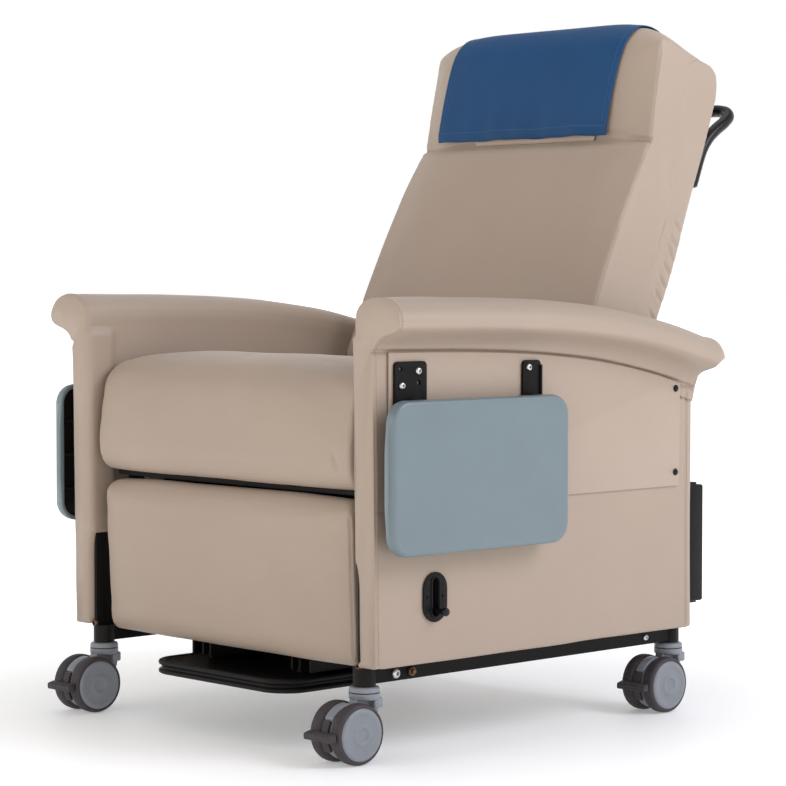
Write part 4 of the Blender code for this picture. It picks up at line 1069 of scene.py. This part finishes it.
# ---------------------------------------------------------------- legrest
def legrest_cover():
    front, rear, low, top = side_extent("legrest_pad")
    bottom, half, corner = low - 0.009, BOX["legrest_pad"][1].x, 0.022
    middle = [(rear, bottom + 0.004), (front + 0.009, bottom), (front - 0.002, bottom + 0.012),
              (front - 0.009, bottom + 0.06), (front - 0.013, (bottom + top) / 2),
              (front - 0.015, top - 0.06), (front - 0.012, top - 0.014),
              (front + 0.000, top + 0.001), (rear, top - 0.002), (rear, (bottom + top) / 2)]
    end = [(rear, bottom + 0.005), (front + 0.011, bottom + 0.001), (front + 0.003, bottom + 0.012),
           (front - 0.002, bottom + 0.06), (front - 0.006, (bottom + top) / 2),
           (front - 0.009, top - 0.06), (front - 0.007, top - 0.014), (front + 0.004, top - 0.002),
           (rear, top - 0.004), (rear, (bottom + top) / 2)]

    def half_at(_, z):
        over = min(corner, max(0.0, z - (top - corner)))
        return half + 0.003 - (corner - math.sqrt(corner ** 2 - over ** 2))

    rings = pad_rings(middle, end, half_at, at, 0.010, count=130, power=5.0)
    pad = soft_body("legrest_cover", rings, voxel=0.005)
    for _, side in SIDES:
        seam = [at(side * (half - 0.002), front + 0.002 - 0.010 * (z - bottom) / (top - bottom), z)
                for z in np.linspace(bottom + 0.012, top - 0.030, 20)]
        crease(pad, seam, 0.0022, 0.0011, lip=0.0004)
    ripple(pad, 0.0012, 8.0, 6)
    points = points_of(pad.data)
    points[:, 1] = np.minimum(points[:, 1], BOX["legrest_pad"][1].y)
    move_to(pad.data, points)
    stand_in(pad, "beige_vinyl", "legrest_pad")


# ---------------------------------------------------------------- side tables
def side_table(label, side):
    """Moulded shell with a soft outer edge, a hollow back and a skirt at the front edge."""
    y0, y1, z0, z1 = side_extent("table_top_" + label)
    corner = 0.036
    profile = [(0.0118, 0.0300), (0.0118, 0.0100), (0.0105, 0.0088), (0.0022, 0.0080),
               (0.0006, 0.0072), (0.0, 0.0060), (0.0, 0.0018), (0.0008, 0.0005), (0.0022, 0.0),
               (0.0088, 0.0), (0.0100, 0.0003), (0.0150, 0.0009), (0.0172, 0.0016),
               (0.0186, 0.0027), (0.0195, 0.0043), (0.0199, 0.0062), (0.0200, 0.0085),
               (0.0200, 0.0300)]
    rings = []
    for depth, inset in profile:
        flat = rounded((y0 + inset, z0 + inset), (y1 - inset, z1 - inset),
                       max(0.004, corner - inset), 10)
        edge = []
        for index, (y, z) in enumerate(flat):
            after = flat[(index + 1) % len(flat)]
            edge += [(y + (after[0] - y) * share, z + (after[1] - z) * share)
                     for share in (0.0, 0.25, 0.5, 0.75)]
        ring = []
        for y, z in edge:
            skirt = clamp((z - 0.398) / 0.008) * clamp((0.524 - z) / 0.008)
            bulge = 0.0035 * skirt if depth < 0.009 and inset < 0.002 and y < y0 + 0.01 else 0.0
            ring.append(at(side * (TABLE_X[0] + depth), y - bulge, z))
        rings.append(ring)
    add_piece("table_shell_" + label, [skin(rings)], SLATE_PLASTIC, "slate_plastic",
              "table_top_" + label, sharp=55)


def bracket_plates(label, side):
    """Flat steel plates on the arm that carry the table's hinge pin, with their bolts."""
    axis_x, axis_z = 0.424, BOX["table_pin_" + label][0].z + 0.004
    plate_x = PANEL_OUT + 0.0075
    bolts = []
    plates = (("front", [(-0.232, 0.632), (-0.268, 0.609)], [(-0.270, 0.636), (-0.230, 0.613)]),
              ("rear", [(0.024, 0.632)], []))
    for place, sites, empty in plates:
        node = "table_bracket_" + place + "_" + label
        y0, y1, z0, z1 = side_extent(node)
        holes = [circle(spot, 0.0036, 16) for spot in empty]
        parts = [slab([rounded((y0, z0), (y1, z1), 0.008)] + holes, 0.005, "YZ",
                      at(side * plate_x, 0, 0), 0.0007)]
        middle = (y0 + y1) / 2
        reach, angle = axis_x - plate_x, 0 if side > 0 else 180
        eye = arc((side * axis_x, axis_z), 0.0070, angle - 90, angle + 90, 10)
        eye += [(side * (axis_x - reach), axis_z + side * 0.0070),
                (side * (axis_x - reach), axis_z - side * 0.0070)]
        parts.append(slab([eye, circle((side * axis_x, axis_z), 0.0045, 20)], 0.012, "XZ",
                          at(0, middle, 0), 0.0008))
        if place == "rear":                      # folded stiffening lip along one edge
            parts.append(block(at(side * plate_x - 0.0025 + side * 0.003, y1 - 0.003, z0 + 0.006),
                               at(side * plate_x + 0.0025 + side * 0.003, y1 + 0.001, z1 - 0.008),
                               0.0008))
        add_piece("bracket_plate_" + place + "_" + label, parts, BLACK_STEEL, "black_steel", node,
                  sharp=45)
        bolts += [bolt(at(side * (plate_x + 0.0025), y, z), (side, 0, 0), 0.0062, 0.0042)
                  for y, z in sites]
    add_piece("bracket_bolts_" + label, bolts, ZINC, "zinc_steel", body="base", sharp=40)


# ---------------------------------------------------------------- casters
WHEEL_SIDES = 72


def caster(place, label):
    """Twin wheels with pale discs, a hood between them, a swivel collar and the brake pedal."""
    tag = place + "_" + label
    low, high = BOX["caster_wheel_" + tag + "_a"]
    hub_y, hub_z = (low.y + high.y) / 2, (low.z + high.z) / 2
    radius = (high.z - low.z) / 2
    tread = [(0.0, 0.0055), (0.0, 0.0425), (0.0012, 0.0452), (0.0040, 0.0482),
             (0.0070, radius - 0.0004), (0.0100, radius), (0.0165, radius),
             (0.0205, radius - 0.0004), (0.0236, 0.0484), (0.0252, 0.0462), (0.0254, 0.0440)]
    disc = [(0.0248, 0.0432), (0.0262, 0.0424), (0.0276, 0.0402), (0.0280, 0.0350),
            (0.0272, 0.0328), (0.0266, 0.0295), (0.0266, 0.0215), (0.0272, 0.0188),
            (0.0282, 0.0168), (0.0284, 0.0130), (0.0276, 0.0118), (0.0266, 0.0106),
            (0.0264, 0.0050), (0.0264, 0.0010)]
    for wheel, sign in (("a", 1.0), ("b", -1.0)):
        node = "caster_wheel_" + tag + "_" + wheel
        inner_x = BOX[node][0].x if sign > 0 else BOX[node][1].x
        verts, faces = turned(tread + disc, (inner_x, hub_y, hub_z), (sign, 0, 0), WHEEL_SIDES)
        rows = [min(index // WHEEL_SIDES, len(tread) + len(disc) - 2)
                for index in range(len(faces) - 2)]
        looks = [0 if row < len(tread) else 1 for row in rows] + [0, 1]
        made = mesh_piece("wheel_" + tag + "_" + wheel, verts, faces, TYRE_GREY, CASTER_GREY,
                          indices=looks, sharp=50)
        stand_in(made, "tyre_grey", node)

    node = "caster_horn_" + tag
    swivel_x = (BOX["caster_wheel_" + tag + "_a"][0].x + BOX["caster_wheel_" + tag + "_b"][1].x) / 2
    swivel_y, stem_top = hub_y + 0.038, BOX[node][1].z
    hub = (-0.038, hub_z)
    hood = arc(hub, 0.0485, 92, 146, 14) + arc(hub, 0.0437, 150, 336, 34)
    hood += [(0.0225, 0.078), (0.0240, 0.086), (0.0240, 0.1025), (-0.0240, 0.1025),
             (-0.0275, hub_z + 0.0445)]
    centre = (swivel_x, swivel_y, 0.0)
    collar = [(0.0995, 0.0205), (0.1008, 0.0242), (0.1030, 0.0255), (0.1105, 0.0256),
              (0.1112, 0.0246), (0.1122, 0.0246), (0.1129, 0.0255), (0.1180, 0.0252),
              (0.1205, 0.0236), (0.1214, 0.0205)]
    stem = [(0.118, 0.0050), (0.118, 0.0056), (stem_top - 0.001, 0.0056), (stem_top, 0.0046)]
    axle = [(-0.0240, 0.0040), (-0.0240, 0.0050), (0.0240, 0.0050), (0.0240, 0.0040)]
    parts = [slab([hood], 0.0190, "YZ", centre, 0.0022),
             turned(collar, centre, (0, 0, 1), 56),
             turned(stem, centre, (0, 0, 1), 24),
             block((swivel_x - 0.0215, swivel_y + 0.0035, 0.0865),
                   (swivel_x + 0.0215, swivel_y + 0.0225, 0.1035), 0.003, 3),
             turned(axle, (swivel_x, hub_y, hub_z), (1, 0, 0), 24)]
    add_piece("caster_hood_" + tag, parts, CASTER_GREY, "caster_grey", node, sharp=45)
    ring = turned([(0.1111, 0.0240), (0.1113, 0.0251), (0.1121, 0.0251), (0.1123, 0.0240)], centre,
                  (0, 0, 1), 56)
    add_piece("caster_ring_" + tag, [ring], BLACK_PLASTIC, "black_plastic",
              body=NODES[node]["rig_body"])

    strip = arc((0, 0), 0.0494, 150, 214, 20) + arc((0, 0), 0.0449, 214, 150, 20)
    lip = arc((0, 0), 0.0655, 177, 186, 6) + arc((0, 0), 0.0518, 188, 172, 8)
    hub_at = (swivel_x, hub_y, hub_z)
    parts = [slab([strip], 0.0155, "YZ", hub_at, 0.0010), slab([lip], 0.065, "YZ", hub_at, 0.0018)]
    parts.append(block((swivel_x - 0.0078, hub_y - 0.0555, hub_z - 0.0048),
                       (swivel_x + 0.0078, hub_y - 0.0475, hub_z + 0.0038), 0.001))
    for share in (-0.026, -0.018, -0.010, 0.010, 0.018, 0.026):  # grip ribs on the tread
        parts.append(block((swivel_x + share - 0.0014, hub_y - 0.0648, hub_z + 0.0022),
                           (swivel_x + share + 0.0014, hub_y - 0.0540, hub_z + 0.0050), 0.0006))
    add_piece("brake_tread_" + tag, parts, TYRE_GREY, "tyre_grey", "brake_pedal_" + tag, sharp=45)


# ---------------------------------------------------------------- smaller hardware
def foot_tray():
    """Moulded tray with a double lip, and the two runners that it slides on."""
    low, high = BOX["foot_tray"]
    x1, y0, y1 = high.x, low.y - DATUM_Y, -0.060
    top, corner = 0.112, 0.058
    levels = [(low.z, 0.0060), (low.z + 0.0006, 0.0034), (low.z + 0.0020, 0.0008),
              (low.z + 0.0038, 0.0), (low.z + 0.0062, 0.0), (low.z + 0.0078, 0.0014),
              (low.z + 0.0092, 0.0044), (low.z + 0.0110, 0.0054), (low.z + 0.0135, 0.0054),
              (low.z + 0.0152, 0.0042), (low.z + 0.0166, 0.0012), (low.z + 0.0180, 0.0),
              (top - 0.0030, 0.0), (top - 0.0012, 0.0010), (top - 0.0002, 0.0032), (top, 0.0070),
              (top - 0.0004, 0.0110), (top - 0.0016, 0.0130), (top - 0.0018, 0.0180)]
    rings = []
    for z, inset in levels:
        rear_corner = 0.010 if inset < 0.008 else 0.004
        ring = rounded((-x1 + inset, y0 + inset), (x1 - inset, y1 - inset),
                       (corner - inset, corner - inset, rear_corner, rear_corner), 14)
        rings.append([at(x, y, z) for x, y in ring])
    parts = [skin(rings)]
    for _, side in SIDES:
        parts.append(block(at(side * 0.120 - 0.0065, -0.232, 0.1105),
                           at(side * 0.120 + 0.0065, 0.110, high.z), 0.001))
    add_piece("foot_tray_moulding", parts, BLACK_PLASTIC, "black_plastic", "foot_tray", sharp=50)


def push_bar():
    """Satin black tube behind the back, screwed on near the ends of its two legs."""
    radius, reach = 0.0115, 0.280
    on_shell = 0.038 + radius + 0.0005
    bend = [(0.0, 0.0, 0.472), (0.0, 0.0, 0.495), (0.0, 0.0, 0.520), (0.0, 0.002, 0.545),
            (0.0, 0.010, 0.570), (0.0, 0.025, 0.595), (0.001, 0.043, 0.618), (0.006, 0.055, 0.635),
            (0.018, 0.0605, 0.646), (0.036, 0.062, 0.651), (0.080, 0.062, 0.651)]
    leg = [(reach - inward, on_shell + out, v) for inward, out, v in bend]
    route = [on_back(x, w, v) for x, w, v in leg] + [on_back(-x, w, v) for x, w, v in reversed(leg)]
    add_piece("push_bar_tube", [tube(route, radius, 24, 220, cap=0.75)], BLACK_TUBE, "black_steel",
              "push_bar")
    screws = []
    rearward = on_back(0, 1, 0) - on_back(0, 0, 0)
    for _, side in SIDES:
        for v in (0.484, 0.508):
            screws.append(bolt(on_back(side * reach, on_shell + radius - 0.0006, v), rearward,
                               0.0058, 0.0036))
    add_piece("push_bar_screws", screws, ZINC, "zinc_steel", body="back", sharp=40)


def lever():
    """Oval slotted plate with two small screws, and the lever whose pin passes through it."""
    low, high = BOX["lever_plate"]
    middle_x = (low.x + high.x) / 2
    centre = (LEVER_Y, LEVER_Z)
    outlines = [stadium(centre, 0.027, 0.041, 20), stadium(centre, 0.0068, 0.0312)]
    rim = [stadium(centre, 0.0105, 0.0350, 20), stadium(centre, 0.0075, 0.0320)]
    parts = [slab(outlines, 0.0030, "YZ", at(middle_x, 0, 0), 0.0009),
             slab(rim, 0.0016, "YZ", at(high.x + 0.0006, 0, 0), 0.0005)]
    add_piece("lever_escutcheon", parts, BLACK_PLASTIC, "black_plastic", "lever_plate", sharp=50)
    sleeve = [stadium(centre, 0.0088, 0.0338), stadium(centre, 0.0071, 0.0315)]
    add_piece("lever_slot_sleeve", [slab(sleeve, 0.040, "YZ", at(PANEL_OUT - 0.0202, 0, 0))],
              BLACK_PLASTIC, "black_plastic", body="base", sharp=50)
    screws = [bolt(at(high.x - 0.0002, LEVER_Y + step, LEVER_Z + 0.001), (1, 0, 0), 0.0030, 0.0016)
              for step in (-0.0185, 0.0170)]
    add_piece("lever_screws", screws, BLACK_STEEL, "black_steel", body="base", sharp=40)

    pivot_y, pivot_z = PIVOT["release_lever_lift"][1] - DATUM_Y, PIVOT["release_lever_lift"][2]
    length, drop = 0.160, 0.0225
    reach = math.sqrt(length ** 2 - drop ** 2)
    angle = math.degrees(math.atan2(-drop, -reach))
    outline = arc((pivot_y, pivot_z), 0.011, angle + 90, angle + 270, 12)
    outline += arc((pivot_y - reach, pivot_z - drop), 0.011, angle - 90, angle + 90, 12)
    pin = at(0.0, pivot_y - reach, pivot_z - drop)
    pin_profile = [(0.346, 0.0040), (0.346, 0.0045), (0.4235, 0.0045), (0.4240, 0.0062),
                   (0.4260, 0.0070), (0.4295, 0.0070), (0.4320, 0.0060), (0.4332, 0.0040),
                   (0.4336, 0.0015)]
    parts = [slab([outline, circle((pivot_y, pivot_z), 0.0066)], 0.004, "YZ", at(0.3470, 0, 0),
                  0.0006)]
    parts.append(turned(pin_profile, pin, (1, 0, 0), 32))
    add_piece("release_lever_arm", parts, BLACK_TUBE, "black_plastic", "release_lever", sharp=50)


def rear_box():
    """Closed black case with a joint line down its middle and short feet."""
    low, high = BOX["rear_box"]
    middle = (low.x + high.x) / 2
    parts = []
    for x0, x1 in ((low.x, middle - 0.0006), (middle + 0.0006, high.x)):
        parts.append(block((x0, low.y, low.z + 0.004), (x1, high.y, high.z - 0.004), 0.004, 4))
    parts.append(block((low.x + 0.008, low.y + 0.004, low.z + 0.010),
                       (high.x - 0.008, high.y - 0.003, high.z - 0.010), 0.002))
    for z in (low.z, high.z - 0.006):
        for share in (0.18, 0.82):
            x = low.x + (high.x - low.x) * share
            parts.append(block((x - 0.007, low.y + 0.008, z),
                               (x + 0.007, high.y - 0.008, z + 0.006), 0.001))
    add_piece("rear_box_case", parts, BLACK_PLASTIC, "black_plastic", "rear_box", sharp=50)


RAIL_OUT, RAIL_BOLT_Z = 0.3625, 0.1375       # the rails' outer faces and their bolts' height


def frame_bolts():
    """Bolts and bushes on the base frame and posts."""
    brown = [bolt(at(x, -0.3072, 0.156), (0, -1, 0), 0.0068, 0.0046) for x in (-0.3550, 0.3550)]
    add_piece("post_bolts", brown, BROWN_STEEL, "zinc_steel", body="base", sharp=40)
    zinc = []
    for _, side in SIDES:
        x = side * RAIL_OUT
        zinc.append(bolt(at(x, -0.235, RAIL_BOLT_Z), (side, 0, 0), 0.0085, 0.0060))
        zinc.append(bolt(at(x, 0.379, RAIL_BOLT_Z), (side, 0, 0), 0.0060, 0.0040))
        zinc.append(bolt(at(side * 0.3575, RECLINE_Y - DATUM_Y, RECLINE_Z), (-side, 0, 0), 0.0070,
                         0.0040))
    add_piece("frame_bolts", zinc, ZINC, "zinc_steel", body="base", sharp=40)
    bush = [(-0.001, 0.0075), (0.0045, 0.0075), (0.0060, 0.0062), (0.0060, 0.0042),
            (0.0090, 0.0040), (0.0098, 0.0030)]
    bushes = [turned(bush, at(side * RAIL_OUT, -0.200, RAIL_BOLT_Z), (side, 0, 0), 28)
              for _, side in SIDES]
    add_piece("frame_bushes", bushes, BROWN_STEEL, "zinc_steel", body="base", sharp=40)


def kept_nodes():
    """CAD nodes whose shape stays: they get a finish with grain and edges lightened partly for wear
    and partly as a painted highlight.
    """
    for node in NODES.values():
        look = SLOT_LOOKS[node.data.materials[0].name.split(".")[0]]
        node.data.materials.clear()
        node.data.materials.append(look)


# ---------------------------------------------------------------- camera, light and floor
CAMERA_SPOT = (3.4386, -3.2846, 0.7857)
CAMERA_TURN, CAMERA_PITCH = math.radians(46.92), math.radians(2.59)
CAMERA_LENS = 119.05


def make_camera():
    """The photograph's viewpoint, towards the chair's left front and a little downwards."""
    data = bpy.data.cameras.new("camera")
    data.lens = CAMERA_LENS
    data.sensor_width = 36.0
    camera = add_object("camera", data)
    camera.location = CAMERA_SPOT
    turn, pitch = CAMERA_TURN, CAMERA_PITCH
    aim = Vector((-math.sin(turn) * math.cos(pitch), math.cos(turn) * math.cos(pitch),
                  -math.sin(pitch)))
    camera.rotation_euler = aim.to_track_quat("-Z", "Y").to_euler()
    bpy.context.scene.camera = camera


def area_light(name, place, target, size, power, colour=(1.0, 1.0, 1.0)):
    data = bpy.data.lights.new(name, "AREA")
    data.shape = "DISK"
    data.size = size
    data.energy = power
    data.color = colour
    light = add_object(name, data)
    light.location = place
    light.rotation_euler = (Vector(target) - Vector(place)).to_track_quat("-Z", "Y").to_euler()


def make_studio():
    """White surroundings that dim overhead, three large soft lights and a pale floor with a painted
    glow that is weaker near the chair.
    """
    scene = bpy.context.scene
    scene.view_settings.view_transform = "Standard"
    world = bpy.data.worlds.new("studio")
    world.use_nodes = True
    nodes, links = world.node_tree.nodes, world.node_tree.links
    place = nodes.new("ShaderNodeTexCoord")
    split = nodes.new("ShaderNodeSeparateXYZ")
    ramp = nodes.new("ShaderNodeValToRGB")
    links.new(place.outputs["Generated"], split.inputs[0])
    links.new(split.outputs["Z"], ramp.inputs[0])
    stops = ramp.color_ramp.elements
    stops[0].position, stops[0].color = 0.30, (1.0, 1.0, 1.0, 1.0)
    stops[1].position, stops[1].color = 0.75, (0.42, 0.42, 0.43, 1.0)
    links.new(ramp.outputs[0], nodes["Background"].inputs["Color"])
    nodes["Background"].inputs["Strength"].default_value = WORLD_STRENGTH
    scene.world = world
    area_light("key_light", (3.2, 1.2, 2.7), (0.0, 0.0, 0.6), 2.2, KEY_POWER, (0.95, 0.985, 1.12))
    area_light("top_light", (-0.2, 0.5, 3.6), (0.0, 0.0, 0.4), 2.6, TOP_POWER)
    area_light("front_light", (-1.0, -4.2, 1.9), (0.0, 0.0, 0.5), 2.6, FRONT_POWER,
               (1.0, 0.90, 0.78))
    edge = 60
    corners = [(-edge, -edge, 0), (edge, -edge, 0), (edge, edge, 0), (-edge, edge, 0)]
    mesh_piece("floor", corners, [(0, 1, 2, 3)], FLOOR)
    # Painted light: the floor glows, weakly near the chair and more strongly away from it, so it
    # brightens into the white backdrop while the shade round the chair stays dark.
    tree = FLOOR.node_tree
    spot = tree.nodes.new("ShaderNodeTexCoord")
    far = tree.nodes.new("ShaderNodeVectorMath")
    far.operation = "LENGTH"
    fade = tree.nodes.new("ShaderNodeMapRange")
    fade.interpolation_type = "SMOOTHSTEP"
    fade.inputs["From Min"].default_value, fade.inputs["From Max"].default_value = 0.40, 1.9
    fade.inputs["To Min"].default_value, fade.inputs["To Max"].default_value = 0.22, 0.80
    tree.links.new(spot.outputs["Object"], far.inputs[0])
    tree.links.new(far.outputs["Value"], fade.inputs["Value"])
    tree.links.new(fade.outputs[0], FLOOR_SHADER.inputs["Emission Strength"])


# ---------------------------------------------------------------- build
make_camera()
make_studio()
kept_nodes()
seat_pad()
back_pad = back_upholstery()
shell_cover = back_shell()
head_cover(back_pad, shell_cover)
legrest_cover()
for side_label, side_sign in SIDES:
    arm_cover(side_label, side_sign)
    inset_board(side_label, side_sign)
    side_table(side_label, side_sign)
    bracket_plates(side_label, side_sign)
    for end_label in ("front", "rear"):
        caster(end_label, side_label)
foot_tray()
push_bar()
lever()
rear_box()
frame_bolts()
